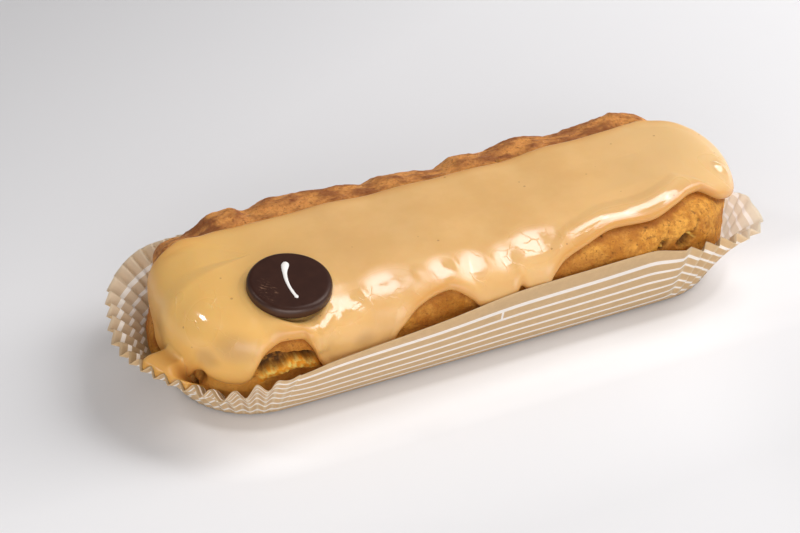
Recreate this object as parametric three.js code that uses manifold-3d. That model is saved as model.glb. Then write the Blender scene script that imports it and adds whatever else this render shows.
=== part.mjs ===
// A coffee eclair in its pleated paper case: a loaf of choux pastry, a poured cap of coffee icing
// that runs down its sides in drips, a round chocolate and the paper case that it lies in.
//
// Units are millimetres. X runs along the eclair, Z is up, and the origin is the middle of the
// case's underside, on the surface it stands on. The front, with the drips, faces -Y.

import * as THREE from 'three';
import { mergeVertices } from 'three/addons/utils/BufferGeometryUtils.js';
import Module from 'manifold-3d';

const wasm = await Module();
wasm.setup();

// The loaf: a spine along X, round ends about the spine's two end points, and one side profile.
const SPINE_LEFT = -50.6;
const SPINE_RIGHT = 52;
const HALF_WIDTH = 25.7;
const LEFT_REACH = 22.4;
const RIGHT_REACH = 21.8;
const LEFT_ROUNDNESS = 2.6;
const RIGHT_ROUNDNESS = 1.9;
const CROWN_Z = 30.8;
const WIDEST_Z = 19.2;
const BELLY_Z = -1.2;
const SOLE_Z = 0.9;
const DOME_ROUNDNESS = 3.5;
const BELLY_ROUNDNESS = 2.3;

// The case: a flat floor and a wall that follows the loaf, pleated round both ends.
const FLOOR_HALF_WIDTH = 19.2;
const CASE_LEFT = -51.6;
const CASE_RIGHT = 51.9;
const PAPER = 0.4;

// The pleats, as [angle, how many there are from the start of that end up to the angle].
const LEFT_PLEATS = [[90, 0], [136, 8.5], [187, 14.5], [208, 17.5], [232.5, 21], [270, 25]];
const RIGHT_PLEATS = [[270, 0], [450, 20]];
const FOLD_GROWTH = 0.95;

// The chocolate: a flat round with a soft edge, pressed a little into the icing.
const DISC_RADIUS = 9.85;
const DISC_THICKNESS = 3.0;
const DISC_EDGE = 1.2;
const DISC_X = -47.6;
const DISC_Y = -15.1;
const DISC_SEAT = 1.1;
const DISC_SLOPE = 8;
const DISC_LEAN = 1.5;
const DISC_CLEARANCE = 0.3;

// The plain stroke of white piped across the chocolate: four points that bend it, and its half
// width at shares of its length.
const STROKE = [[1.47, 5.9], [-1.1, 2.4], [-1.25, -2.6], [-0.5, -6]];
const STROKE_HALF_WIDTH = [[0, 0.75], [0.1, 0.9], [0.3, 0.5], [0.6, 0.36], [0.96, 0.45], [1, 0.4]];
const STROKE_STEPS = 8;
const STROKE_RISE = 0.55;

// Clearance that keeps neighbouring pieces apart.
const GAP = 0.4;

const SPAN = SPINE_RIGHT - SPINE_LEFT;
const TURN = Math.PI * HALF_WIDTH;
const ROUND = 2 * (SPAN + TURN);
const DEGREE = Math.PI / 180;

// A place is a distance round the loaf: along the back from right to left, round the left end,
// along the front from left to right, and round the right end.
const back = (x) => SPINE_RIGHT - x;
const leftEnd = (angle) => SPAN + (angle - 90) * DEGREE * HALF_WIDTH;
const front = (x) => SPAN + TURN + x - SPINE_LEFT;
const rightEnd = (angle) => 2 * SPAN + TURN + (angle - 270) * DEGREE * HALF_WIDTH;

/** The value in one column of a rising table that goes with a value in the other. */
function lookUp(table, value, from, to) {
  let i = 1;
  while (i < table.length - 1 && table[i][from] < value) i += 1;
  const a = table[i - 1];
  const b = table[i];
  return a[to] + ((value - a[from]) / (b[from] - a[from])) * (b[to] - a[to]);
}

/** The point on the spine that a place looks out from, and the direction it looks in. */
function outlook(place) {
  const p = ((place % ROUND) + ROUND) % ROUND;
  if (p < SPAN) return { x: SPINE_RIGHT - p, angle: 0.5 * Math.PI, end: 'side' };
  const turned = (from) => (p - from) / HALF_WIDTH;
  if (p < SPAN + TURN) return { x: SPINE_LEFT, angle: 0.5 * Math.PI + turned(SPAN), end: 'left' };
  if (p < 2 * SPAN + TURN) return { x: SPINE_LEFT + p - SPAN - TURN, angle: 1.5 * Math.PI, end: 'side' };
  return { x: SPINE_RIGHT, angle: 1.5 * Math.PI + turned(2 * SPAN + TURN), end: 'right' };
}

/** How far the loaf reaches from its spine in a direction: half ovals at the ends. */
function reach({ angle, end }) {
  if (end === 'side') return HALF_WIDTH;
  const along = end === 'left' ? LEFT_REACH : RIGHT_REACH;
  const power = end === 'left' ? LEFT_ROUNDNESS : RIGHT_ROUNDNESS;
  const x = Math.abs(Math.cos(angle)) / along;
  const y = Math.abs(Math.sin(angle)) / HALF_WIDTH;
  return (x ** power + y ** power) ** (-1 / power);
}

/** The side profile from the crown to the sole, as a table of way, share of the reach, and height. */
function sideProfile() {
  const table = [];
  const steps = 2400;
  let way = 0;
  for (let i = 0; i <= steps; i += 1) {
    const turn = (Math.PI * i) / steps;
    const power = 2 / (turn < Math.PI / 2 ? DOME_ROUNDNESS : BELLY_ROUNDNESS);
    const rise = turn < Math.PI / 2 ? CROWN_Z - WIDEST_Z : BELLY_Z - WIDEST_Z;
    const share = Math.abs(Math.sin(turn)) ** power;
    const z = Math.max(SOLE_Z, WIDEST_Z + rise * Math.abs(Math.cos(turn)) ** power);
    const last = table[table.length - 1];
    if (last) way += Math.hypot((share - last.share) * HALF_WIDTH, z - last.z);
    table.push({ way, share, z });
  }
  return table;
}

const PROFILE = sideProfile();
const SOLE_WAY = PROFILE[PROFILE.length - 1].way;

/** Share of the reach and height at a way, the distance down the side from the crown. */
function sideAt(way) {
  const target = Math.min(Math.max(way, 0), SOLE_WAY);
  let low = 0;
  let high = PROFILE.length - 1;
  while (high - low > 1) {
    const middle = (low + high) >> 1;
    if (PROFILE[middle].way > target) high = middle;
    else low = middle;
  }
  const a = PROFILE[low];
  const b = PROFILE[high];
  const t = b.way > a.way ? (target - a.way) / (b.way - a.way) : 0;
  return { share: a.share + (b.share - a.share) * t, z: a.z + (b.z - a.z) * t };
}

/** A point on the loaf at a place and way, lifted off its skin. */
function onLoaf(place, way, lift = 0) {
  const look = outlook(place);
  const r = reach(look);
  const here = sideAt(way);
  const above = sideAt(way - 0.4);
  const below = sideAt(way + 0.4);
  const run = (below.share - above.share) * r;
  const drop = below.z - above.z;
  const length = Math.hypot(run, drop);
  const out = way > 0 ? r * here.share - (lift * drop) / length : 0;
  const up = way > 0 ? (lift * run) / length : lift;
  return new THREE.Vector3(
    look.x + Math.cos(look.angle) * out,
    Math.sin(look.angle) * out,
    here.z + up,
  );
}

/** Values that change smoothly round the loaf, through a short closed list of [place, ...values]. */
function around(points) {
  const n = points.length;
  const at = (i) => {
    const turns = Math.floor(i / n);
    const point = points[i - turns * n];
    return [point[0] + turns * ROUND, ...point.slice(1)];
  };
  const slope = (i, k) => {
    const before = at(i - 1);
    const here = at(i);
    const after = at(i + 1);
    const left = (here[k] - before[k]) / (here[0] - before[0]);
    const right = (after[k] - here[k]) / (after[0] - here[0]);
    return left * right > 0 ? (2 * left * right) / (left + right) : 0;
  };
  return (place) => {
    let p = ((place % ROUND) + ROUND) % ROUND;
    if (p < points[0][0]) p += ROUND;
    let i = 0;
    while (at(i + 1)[0] <= p) i += 1;
    const a = at(i);
    const b = at(i + 1);
    const gap = b[0] - a[0];
    const t = (p - a[0]) / gap;
    return a.slice(1).map((value, j) => {
      const k = j + 1;
      const bend = t * t * (3 - 2 * t);
      const leave = (t - 2 * t * t + t ** 3) * gap * slope(i, k);
      const arrive = (t ** 3 - t * t) * gap * slope(i + 1, k);
      return value + (b[k] - value) * bend + leave + arrive;
    });
  };
}

/** One smooth hump, 1 at its middle and 0 from its half width out. */
function hump(offset, halfWidth) {
  const t = Math.min(Math.abs(offset) / halfWidth, 1);
  return (1 - t * t) ** 2;
}

// The torn ridge of crust that stands up behind the icing: its lift off the loaf at each place.
const ridge = around([
  [back(54), 2.2],
  [back(48), 2.4],
  [back(43.5), 0.1],
  [back(38), 0.1],
  [back(29), 1.6],
  [back(19), 0.3],
  [back(12), 1.1],
  [back(6), -1.6],
  [back(-2), 0.1],
  [back(-8), 0.7],
  [back(-13), -0.2],
  [back(-18), 0.6],
  [back(-27), 1.4],
  [back(-38), 2.1],
  [back(-44.5), 0.5],
  [back(-48), 2.4],
  [leftEnd(95), 1.8],
  [leftEnd(103), 0],
  [leftEnd(112), -1.4],
  [leftEnd(124), 0.4],
  [leftEnd(136), 1.2],
  [leftEnd(150), 0],
  [rightEnd(415), 0],
  [rightEnd(437), 1.6],
]);
const RIDGE_WAY = 22;
const RIDGE_HALF_BAND = 10;

// The foot of the left end swells out under the icing's lip.
const FOOT_PLACE = leftEnd(169);
const FOOT_HALF_LENGTH = 16;
const FOOT_WAY = 41;
const FOOT_HALF_BAND = 9;
const FOOT_SWELL = 2.8;

/** Lift of the crust off the smooth loaf: broad unevenness, the ridge at the back and the swollen foot. */
function crust(place, way) {
  const p = onLoaf(place, way);
  if (p.z < SOLE_Z + 1) return 0;
  const calm = 0.4 + 0.6 * Math.min(way / 30, 1);
  const uneven = 0.35 * Math.sin(0.19 * p.x + 1.1) * Math.sin(0.16 * p.y + 0.4)
    + 0.25 * Math.sin(0.33 * p.x + 0.27 * p.z + 2);
  const band = hump(way - RIDGE_WAY, RIDGE_HALF_BAND) * Math.min(Math.max(p.y / 6, 0), 1);
  const foot = hump(place - FOOT_PLACE, FOOT_HALF_LENGTH) * hump(way - FOOT_WAY, FOOT_HALF_BAND);
  return uneven * calm * (1 - band) + ridge(place)[0] * band + FOOT_SWELL * foot;
}

/** A closed geometry from loose triangles: shared corners are merged and slivers dropped. */
function closedGeometry(triangles) {
  const loose = new THREE.BufferGeometry();
  loose.setAttribute('position', new THREE.Float32BufferAttribute(
    triangles.flatMap((corners) => corners.flatMap((p) => [p.x, p.y, p.z])),
    3,
  ));
  const merged = mergeVertices(loose, 1e-3);
  const index = [];
  for (let i = 0; i < merged.index.count; i += 3) {
    const [a, b, c] = [0, 1, 2].map((k) => merged.index.getX(i + k));
    if (a !== b && b !== c && c !== a) index.push(a, b, c);
  }
  merged.setIndex(index);
  return merged;
}

/** Triangles between closed rings of points that run down a skin, over the shorter diagonals. */
function skin(rings) {
  const triangles = [];
  for (let row = 0; row < rings.length - 1; row += 1) {
    const upper = rings[row];
    const lower = rings[row + 1];
    for (let i = 0; i < upper.length; i += 1) {
      const j = (i + 1) % upper.length;
      if (upper[i].distanceTo(lower[j]) < upper[j].distanceTo(lower[i])) {
        triangles.push([upper[i], lower[i], lower[j]], [upper[i], lower[j], upper[j]]);
      } else {
        triangles.push([upper[i], lower[i], upper[j]], [upper[j], lower[i], lower[j]]);
      }
    }
  }
  return triangles;
}

/** Places round the loaf, with equal steps along each side and round each end. */
function placesRound(sideSteps, endSteps) {
  const places = [];
  for (let i = 0; i < sideSteps; i += 1) places.push((SPAN * i) / sideSteps);
  for (let i = 0; i < endSteps; i += 1) places.push(SPAN + (TURN * i) / endSteps);
  for (let i = 0; i < sideSteps; i += 1) places.push(SPAN + TURN + (SPAN * i) / sideSteps);
  for (let i = 0; i < endSteps; i += 1) places.push(2 * SPAN + TURN + (TURN * i) / endSteps);
  return places;
}

/** The library's solid of a closed geometry, and back. */
function solidOf(geometry) {
  return new wasm.Manifold(new wasm.Mesh({
    numProp: 3,
    vertProperties: new Float32Array(geometry.attributes.position.array),
    triVerts: new Uint32Array(geometry.index.array),
  }));
}

function geometryOf(solid) {
  const mesh = solid.getMesh();
  const geometry = new THREE.BufferGeometry();
  geometry.setAttribute('position', new THREE.Float32BufferAttribute(mesh.vertProperties, 3));
  geometry.setIndex(Array.from(mesh.triVerts));
  geometry.computeVertexNormals();
  return geometry;
}

/** The biggest connected part of a solid. */
function largestPiece(solid) {
  return solid.decompose().reduce((a, b) => (a.volume() > b.volume() ? a : b));
}

/** The solid of one of the library's closed shapes. */
function solidOfShape(shape) {
  const corners = [];
  for (let i = 0; i < shape.index.count; i += 1) {
    corners.push(new THREE.Vector3().fromBufferAttribute(shape.attributes.position, shape.index.getX(i)));
  }
  const triangles = [];
  for (let i = 0; i < corners.length; i += 3) triangles.push(corners.slice(i, i + 3));
  return solidOf(closedGeometry(triangles));
}

/** A round body of three half sizes, turned about Y and moved into place. */
function pebble(centre, halfX, halfY, halfZ, tilt) {
  const ball = new THREE.SphereGeometry(1, 14, 10);
  ball.scale(halfX, halfY, halfZ);
  ball.rotateY(tilt * DEGREE);
  ball.translate(centre.x, centre.y, centre.z);
  return solidOfShape(ball);
}

// Hollows in the crust: the tear under the front arch, the one beside the pool, and two at the right.
const HOLLOWS = [
  { place: leftEnd(262), way: 30.5, halfX: 6.8, halfY: 3.4, halfZ: 2.7, tilt: 6 },
  { place: front(-47.5), way: 30.2, halfX: 3.2, halfY: 2.6, halfZ: 1.8, tilt: 0 },
  { place: leftEnd(219), way: 39, halfX: 1.9, halfY: 1.9, halfZ: 3.2, tilt: 0 },
  { place: front(51.8), way: 29.4, halfX: 3.1, halfY: 2.6, halfZ: 2.3, tilt: -35 },
  { place: front(45.6), way: 30, halfX: 1.6, halfY: 1.4, halfZ: 1.7, tilt: -40 },
];

/** Rings of the crust from the crown to the sole, with some clearance added. */
function loafRings(clearance) {
  const places = placesRound(30, 18);
  const rows = 15;
  const rings = [];
  for (let row = 0; row <= rows; row += 1) {
    const way = (SOLE_WAY * row) / rows;
    rings.push(places.map((place) => onLoaf(place, way, crust(place, way) + clearance)));
  }
  return rings;
}

function chouxGeometry() {
  let loaf = solidOf(closedGeometry(skin(loafRings(0))));
  for (const { place, way, halfX, halfY, halfZ, tilt } of HOLLOWS) {
    loaf = loaf.subtract(pebble(onLoaf(place, way), halfX, halfY, halfZ, tilt));
  }
  return geometryOf(largestPiece(loaf.intersect(liner())));
}

// The icing's lower edge: how far it has run down the side at each place.
const icingEdge = around([
  [back(50), 14.6],
  [back(32), 13.4],
  [back(-6), 12.9],
  [back(-45), 12.8],
  [leftEnd(122), 14.8],
  [leftEnd(140), 20.6],
  [leftEnd(151), 26],
  [leftEnd(155), 32],
  [leftEnd(159), 35.6],
  [leftEnd(184), 36],
  [leftEnd(190), 38.6],
  [leftEnd(197), 44],
  [leftEnd(206), 44],
  [leftEnd(217), 36.8],
  [leftEnd(222), 33.9],
  [leftEnd(237), 35.9],
  [leftEnd(246), 34.4],
  [leftEnd(250), 30],
  [leftEnd(256), 26.8],
  [leftEnd(267), 25.2],
  [front(-48.7), 26.4],
  [front(-45.4), 33],
  [front(-41), 40],
  [front(-31), 40],
  [front(-25.4), 31],
  [front(-20), 27],
  [front(-12), 25.4],
  [front(-5.4), 29.4],
  [front(0), 30.8],
  [front(6.4), 28.3],
  [front(10), 30.2],
  [front(16), 26.8],
  [front(24), 24.2],
  [front(34), 22],
  [front(43), 22.4],
  [rightEnd(282), 19],
  [rightEnd(292), 19.7],
  [rightEnd(303), 25],
  [rightEnd(325), 28],
  [rightEnd(365), 26],
  [rightEnd(405), 20],
  [rightEnd(437), 16.2],
]);

// Thickness of the icing: thin over the top and where it touches the case, thick in the drips.
const icingThickness = around([
  [back(0), 1.1],
  [leftEnd(150), 1.8],
  [leftEnd(220), 1.7],
  [front(-35), 1.7],
  [front(-14), 1.6],
  [front(4), 0.9],
  [front(25), 1.6],
  [rightEnd(310), 1.9],
  [rightEnd(400), 1.5],
]);
const TOP_THICKNESS = 1.3;
const CROWN_BLEND = 12;
const BURIED = 3;
const EDGE_BURIED = 0.5;
const LIP_RADIUS = 1.6;
const LIP_STEPS = [1.7, 0.9, 0.3, 0];

/** One ring of the icing's skin, at a share of the way to its edge or a distance from the edge. */
function icingRing(places, share, fromEdge, outer) {
  return places.map((place) => {
    const [edge] = icingEdge(place);
    const way = (edge - fromEdge) * share;
    const toEdge = edge - way;
    if (!outer) return onLoaf(place, way, -BURIED);
    const under = crust(place, way) + GAP;
    if (toEdge < LIP_STEPS[2]) return onLoaf(place, way, under - EDGE_BURIED);
    const fall = 1 - Math.min(toEdge / LIP_RADIUS, 1);
    const blend = Math.min(way / CROWN_BLEND, 1);
    const thickness = TOP_THICKNESS + (icingThickness(place)[0] - TOP_THICKNESS) * blend;
    return onLoaf(place, way, under + thickness * Math.sqrt(1 - fall * fall));
  });
}

// The pool at the front left corner, where the icing has run down and filled the case to its rim.
const POOL_FROM = 188;
const POOL_TO = 246;
const POOL_STEPS = 16;
const POOL_START = 30;
const POOL_END_DROP = 9;
const POOL_FOOT_SLANT = 11;
const POOL_FOOT_WAY = 47;

/** A section of the pool: out of the side of the loaf, over to the rim, and down in the crevice. */
function poolSection(angle) {
  const place = leftEnd(angle);
  const t = (angle - POOL_FROM) / (POOL_TO - POOL_FROM);
  const drop = POOL_END_DROP * (1 - Math.sin(Math.PI * t) ** 0.4);
  const start = POOL_START + 0.6 * drop + 7 * t * t;
  const onSkin = (way, lift) => onLoaf(place, way, crust(place, way) + GAP + lift);
  const brim = wallShape(place)[3] - drop;
  return [
    onLoaf(place, start, -BURIED),
    onSkin(start, 1),
    onSkin(start + 3, 1.8),
    wallPoint(place, brim - 1.2, -2.4),
    wallPoint(place, brim - 0.5, 1),
    wallPoint(place, POOL_FOOT_SLANT, 1),
    onLoaf(place, POOL_FOOT_WAY, -BURIED),
  ];
}

function poolGeometry() {
  const sections = [];
  for (let i = 0; i <= POOL_STEPS; i += 1) {
    sections.push(poolSection(POOL_TO + ((POOL_FROM - POOL_TO) * i) / POOL_STEPS));
  }
  const cap = (ring, flip) => {
    const triangles = [];
    for (let i = 1; i < ring.length - 1; i += 1) {
      triangles.push(flip ? [ring[0], ring[i + 1], ring[i]] : [ring[0], ring[i], ring[i + 1]]);
    }
    return triangles;
  };
  const first = sections[0];
  const last = sections[sections.length - 1];
  return closedGeometry([...skin(sections), ...cap(first, false), ...cap(last, true)]);
}

// The chocolate's axis, and the point of its underside that lies on it.
const discAxis = new THREE.Vector3(
  Math.sin(DISC_LEAN * DEGREE),
  -Math.sin(DISC_SLOPE * DEGREE),
  Math.cos(DISC_SLOPE * DEGREE),
).normalize();
const discSeat = onLoaf(front(DISC_X), -DISC_Y).addScaledVector(discAxis, DISC_SEAT);

/** A turned solid that stands on the disc's seat, beside its axis by an offset. */
function turnedOnDisc(profile, segments, offsetX = 0, offsetY = 0) {
  const shape = new THREE.LatheGeometry(profile, segments);
  shape.rotateX(Math.PI / 2);
  shape.translate(offsetX, offsetY, 0);
  shape.applyQuaternion(new THREE.Quaternion().setFromUnitVectors(new THREE.Vector3(0, 0, 1), discAxis));
  shape.translate(discSeat.x, discSeat.y, discSeat.z);
  return solidOfShape(shape);
}

/** A quarter round of a profile, from one angle to another in equal steps. */
function quarterRound(centreX, centreY, radiusX, radiusY, from, to, steps) {
  return Array.from({ length: steps + 1 }, (_, i) => {
    const a = (from + ((to - from) * i) / steps) * DEGREE;
    return new THREE.Vector2(centreX + radiusX * Math.cos(a), centreY + radiusY * Math.sin(a));
  });
}

/** Half section of a flat round with soft edges, from the axis out and back. */
function discProfile(radius, bottom, top, edge) {
  return [
    new THREE.Vector2(0, bottom),
    ...quarterRound(radius - edge, bottom + edge, edge, edge, -90, 0, 3),
    ...quarterRound(radius - edge, top - edge, edge, edge, 0, 90, 4),
    new THREE.Vector2(0, top),
  ];
}

/** One round blob of the piped stroke, at a share of its length. */
function blob(share, curve) {
  const { x, y } = curve.getPoint(share);
  const radius = lookUp(STROKE_HALF_WIDTH, share, 0, 1);
  const foot = DISC_THICKNESS - DISC_CLEARANCE;
  const rounded = quarterRound(0, DISC_THICKNESS, radius, STROKE_RISE * radius, 0, 90, 2);
  const profile = [new THREE.Vector2(0, foot), new THREE.Vector2(radius, foot), ...rounded];
  profile[profile.length - 1].x = 0;
  return turnedOnDisc(profile, 10, x, y);
}

function chocolateGeometry() {
  const curve = new THREE.CubicBezierCurve(...STROKE.map(([x, y]) => new THREE.Vector2(x, y)));
  let solid = turnedOnDisc(discProfile(DISC_RADIUS, 0, DISC_THICKNESS, DISC_EDGE), 36);
  for (let i = 0; i < STROKE_STEPS; i += 1) {
    const ends = [i / STROKE_STEPS, (i + 1) / STROKE_STEPS].map((share) => blob(share, curve));
    solid = solid.add(wasm.Manifold.hull(ends));
  }
  return geometryOf(solid);
}

function icingGeometry() {
  const places = placesRound(38, 24);
  const outerRows = 6;
  const outer = [];
  for (let row = 0; row < outerRows; row += 1) {
    outer.push(icingRing(places, row / outerRows, LIP_STEPS[0], true));
  }
  for (const fromEdge of LIP_STEPS) outer.push(icingRing(places, 1, fromEdge, true));
  const closing = [...outer, icingRing(places, 1, 0, false), icingRing(places, 0, 0, false)];
  const cap = solidOf(closedGeometry(skin(closing)));
  const pool = solidOf(poolGeometry());
  const socket = discProfile(DISC_RADIUS + DISC_CLEARANCE, -DISC_CLEARANCE, 2 * DISC_THICKNESS, DISC_EDGE);
  const seat = turnedOnDisc(socket, 36);
  const loaf = solidOf(closedGeometry(skin(loafRings(GAP))));
  return geometryOf(largestPiece(cap.add(pool).subtract(loaf).intersect(liner()).subtract(seat)));
}

// The case's wall: [place, lean at the foot, lean at the lip, how late it curls, slant height].
const wallShape = around([
  [back(30), 34, 4, 1, 23.4],
  [back(-36), 34, 8, 1, 23.6],
  [leftEnd(102), 31, 24, 1.5, 23.8],
  [leftEnd(124), 28, 48, 1.5, 25.2],
  [leftEnd(145), 28, 60, 1.5, 24.2],
  [leftEnd(163), 28, 52, 1.5, 23],
  [leftEnd(180), 28, 57, 1.5, 23],
  [leftEnd(204), 28, 53, 1.5, 23],
  [leftEnd(222), 28, 55, 1.5, 23],
  [leftEnd(238), 28, 60, 1.5, 23],
  [leftEnd(250), 28, 50, 1.5, 23],
  [leftEnd(263), 30, 38, 1.5, 23],
  [front(-42), 38, 21, 1, 23],
  [front(-15), 37, 14, 1, 23.4],
  [front(8), 35, 6, 1, 23.8],
  [front(42), 34, 2, 1, 23.6],
  [rightEnd(270), 28, 17, 1.5, 23.5],
  [rightEnd(284), 24, 26, 2, 23.5],
  [rightEnd(298), 24, 42, 2, 23.5],
  [rightEnd(316), 24, 60, 2, 23.5],
  [rightEnd(328), 24, 20, 2, 23.4],
  [rightEnd(336), 24, 12, 2, 21.6],
  [rightEnd(345), 24, 6, 2, 19.6],
  [rightEnd(365), 24, 6, 2, 19.4],
  [rightEnd(400), 26, 10, 2, 21.5],
  [rightEnd(440), 32, 5, 1.2, 23.5],
]);

// How far the pleats stand in and out at the rim. The back of the right end was spread almost flat.
const pleatDepth = around([
  [leftEnd(95), 0.8],
  [leftEnd(125), 1.15],
  [leftEnd(185), 1.25],
  [leftEnd(215), 1],
  [leftEnd(256), 0.9],
  [leftEnd(266), 0.2],
  [rightEnd(275), 0.9],
  [rightEnd(292), 1.15],
  [rightEnd(312), 0.9],
  [rightEnd(322), 0.3],
  [rightEnd(400), 0.4],
  [rightEnd(440), 0.9],
]);

/** How far the wall stands out at the rim: minus on inner folds, and 0 along the smooth sides. */
function pleat(place) {
  const { angle, end } = outlook(place);
  if (end === 'side') return 0;
  const count = lookUp(end === 'left' ? LEFT_PLEATS : RIGHT_PLEATS, angle / DEGREE, 0, 1);
  return pleatDepth(place)[0] * (1 - 4 * Math.abs(count - Math.floor(count) - 0.5));
}

/** The case's own spine, a little longer than the loaf's. */
function caseX(x) {
  return CASE_LEFT + ((x - SPINE_LEFT) / SPAN) * (CASE_RIGHT - CASE_LEFT);
}

/** A point of the wall at a place and a slant height, moved out along the wall's normal. */
function wallPoint(place, slant, out = 0) {
  const look = outlook(place);
  const [foot, lip, curl, height] = wallShape(place);
  const lean = (s) => (foot + (lip - foot) * (s / height) ** curl) * DEGREE;
  const steps = 16;
  let run = FLOOR_HALF_WIDTH;
  let rise = 0;
  for (let i = 0; i < steps; i += 1) {
    const s = (slant * (i + 0.5)) / steps;
    run += (Math.sin(lean(s)) * slant) / steps;
    rise += (Math.cos(lean(s)) * slant) / steps;
  }
  run += out * Math.cos(lean(slant));
  rise -= out * Math.sin(lean(slant));
  return new THREE.Vector3(
    caseX(look.x) + Math.cos(look.angle) * run,
    Math.sin(look.angle) * run,
    rise,
  );
}

const WALL_ROWS = 5;
const SIDE_STEPS = 9;

/** The places of the folds of one end, two for each pleat. */
function foldPlaces(pleats, toPlace) {
  const total = pleats[pleats.length - 1][1];
  return Array.from({ length: 2 * total }, (_, i) => toPlace(lookUp(pleats, i / 2, 1, 0)));
}

const sideStep = (i) => (SPAN * i) / SIDE_STEPS;
const casePlaces = [
  ...Array.from({ length: SIDE_STEPS }, (_, i) => sideStep(i)),
  ...foldPlaces(LEFT_PLEATS, leftEnd),
  ...Array.from({ length: SIDE_STEPS }, (_, i) => SPAN + TURN + sideStep(i)),
  ...foldPlaces(RIGHT_PLEATS, rightEnd),
];
const caseMiddle = (z) => casePlaces.map((place) => new THREE.Vector3(caseX(outlook(place).x), 0, z));

/** One ring of the wall, inward from its outer face by a depth, with its foot at a height. */
function wallRing(row, inward, footZ) {
  return casePlaces.map((place) => {
    const height = wallShape(place)[3];
    const slant = (height * row) / WALL_ROWS;
    const fold = pleat(place) * (slant / height) ** FOLD_GROWTH;
    const p = wallPoint(place, slant, fold - inward);
    if (row === 0) p.z = footZ;
    return p;
  });
}

function caseGeometry() {
  const rings = [caseMiddle(PAPER)];
  for (let row = 0; row <= WALL_ROWS; row += 1) rings.push(wallRing(row, PAPER, PAPER));
  for (let row = WALL_ROWS; row >= 0; row -= 1) rings.push(wallRing(row, 0, 0));
  rings.push(caseMiddle(0));
  return closedGeometry(skin(rings));
}

/** The room inside the case, open far upwards, that the pastry and its icing have to keep to. */
function liner() {
  const inward = PAPER + 1.25 * GAP;
  const ceiling = 2 * CROWN_Z;
  const rings = [caseMiddle(ceiling)];
  const rim = wallRing(WALL_ROWS, inward, 0);
  rings.push(rim.map((p) => new THREE.Vector3(p.x, p.y, ceiling)));
  for (let row = WALL_ROWS; row >= 0; row -= 1) rings.push(wallRing(row, inward, PAPER + GAP));
  rings.push(caseMiddle(PAPER + GAP));
  return solidOf(closedGeometry(skin(rings)));
}

/** A mesh with its own plain material. */
function piece(name, geometry, colour, roughness) {
  const material = new THREE.MeshStandardMaterial({ color: colour, roughness, metalness: 0 });
  const mesh = new THREE.Mesh(geometry, material);
  mesh.name = name;
  return mesh;
}

const eclair = new THREE.Group();
eclair.add(
  piece('paper_case', caseGeometry(), 0xd8b988, 0.8),
  piece('choux', chouxGeometry(), 0xb9742f, 0.75),
  piece('icing', icingGeometry(), 0xdfb173, 0.25),
  piece('chocolate_disc', chocolateGeometry(), 0x452c22, 0.4),
);

export default eclair;
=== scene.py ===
# %% [markdown]
# # A coffee eclair in its paper case
#
# This lesson gives the finish of a bought eclair to a plain CAD model of it. The real thing has four
# pieces: a baked loaf of choux pastry, a poured cap of coffee icing, a flat round of dark chocolate, and
# a pleated case of striped paper. Each one is built again here as a fine surface, from the same few sizes
# as its CAD piece, and gets a material of its own. All shapes are worked out in millimetres and turned
# into metres at the end.

# %% Tools and the CAD frame
import math

import bpy
import numpy as np
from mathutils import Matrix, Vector, noise


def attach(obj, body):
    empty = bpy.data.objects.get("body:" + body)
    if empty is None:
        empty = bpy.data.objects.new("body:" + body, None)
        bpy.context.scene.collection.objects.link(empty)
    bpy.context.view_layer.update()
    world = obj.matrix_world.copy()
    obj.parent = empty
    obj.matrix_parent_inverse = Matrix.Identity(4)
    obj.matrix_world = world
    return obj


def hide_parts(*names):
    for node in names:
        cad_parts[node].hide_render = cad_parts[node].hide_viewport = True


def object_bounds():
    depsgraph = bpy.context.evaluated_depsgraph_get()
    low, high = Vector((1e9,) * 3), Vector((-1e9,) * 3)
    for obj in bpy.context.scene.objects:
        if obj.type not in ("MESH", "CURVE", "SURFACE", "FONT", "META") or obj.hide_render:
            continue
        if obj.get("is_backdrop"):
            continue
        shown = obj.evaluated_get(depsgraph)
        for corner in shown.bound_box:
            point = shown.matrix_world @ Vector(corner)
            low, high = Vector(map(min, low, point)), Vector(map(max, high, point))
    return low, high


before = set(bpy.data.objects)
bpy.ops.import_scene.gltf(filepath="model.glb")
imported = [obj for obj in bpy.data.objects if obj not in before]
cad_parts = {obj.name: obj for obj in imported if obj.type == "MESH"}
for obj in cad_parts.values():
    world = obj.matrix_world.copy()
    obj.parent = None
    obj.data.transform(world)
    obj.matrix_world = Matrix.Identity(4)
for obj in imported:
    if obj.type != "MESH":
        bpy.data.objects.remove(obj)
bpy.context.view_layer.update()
print("CAD nodes:", sorted(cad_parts))

# %% [markdown]
# ## Places and ways
#
# An eclair is piped as a straight rope of paste, so it has a spine: a line down its middle, with a round
# end at each tip. It could be sculpted from a capsule, but the drips and the paper would then have to be
# placed by eye. Here every point of its skin gets two numbers instead. Its `place` is how far round the
# loaf it lies, and its `way` is how far down the side from the crown. Icing runs down the side and paper
# stands up along it, so both are easy to describe in these two numbers, and hard in x, y and z.

# %% Sizes of the loaf
SPINE_LEFT, SPINE_RIGHT = -50.6, 52.0
HALF_WIDTH = 25.7
# How far the round ends reach past the spine.
LEFT_REACH, RIGHT_REACH = 22.4, 21.8
# How square the two ends and the section are: 2 is an ellipse, and more is squarer.
LEFT_ROUNDNESS, RIGHT_ROUNDNESS = 2.6, 1.9
DOME_ROUNDNESS, BELLY_ROUNDNESS = 3.5, 2.3
# Heights. The belly's curve would end under the table, and the flat sole cuts it off.
CROWN_Z, WIDEST_Z, BELLY_Z, SOLE_Z = 30.8, 19.2, -1.2, 0.9
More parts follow.
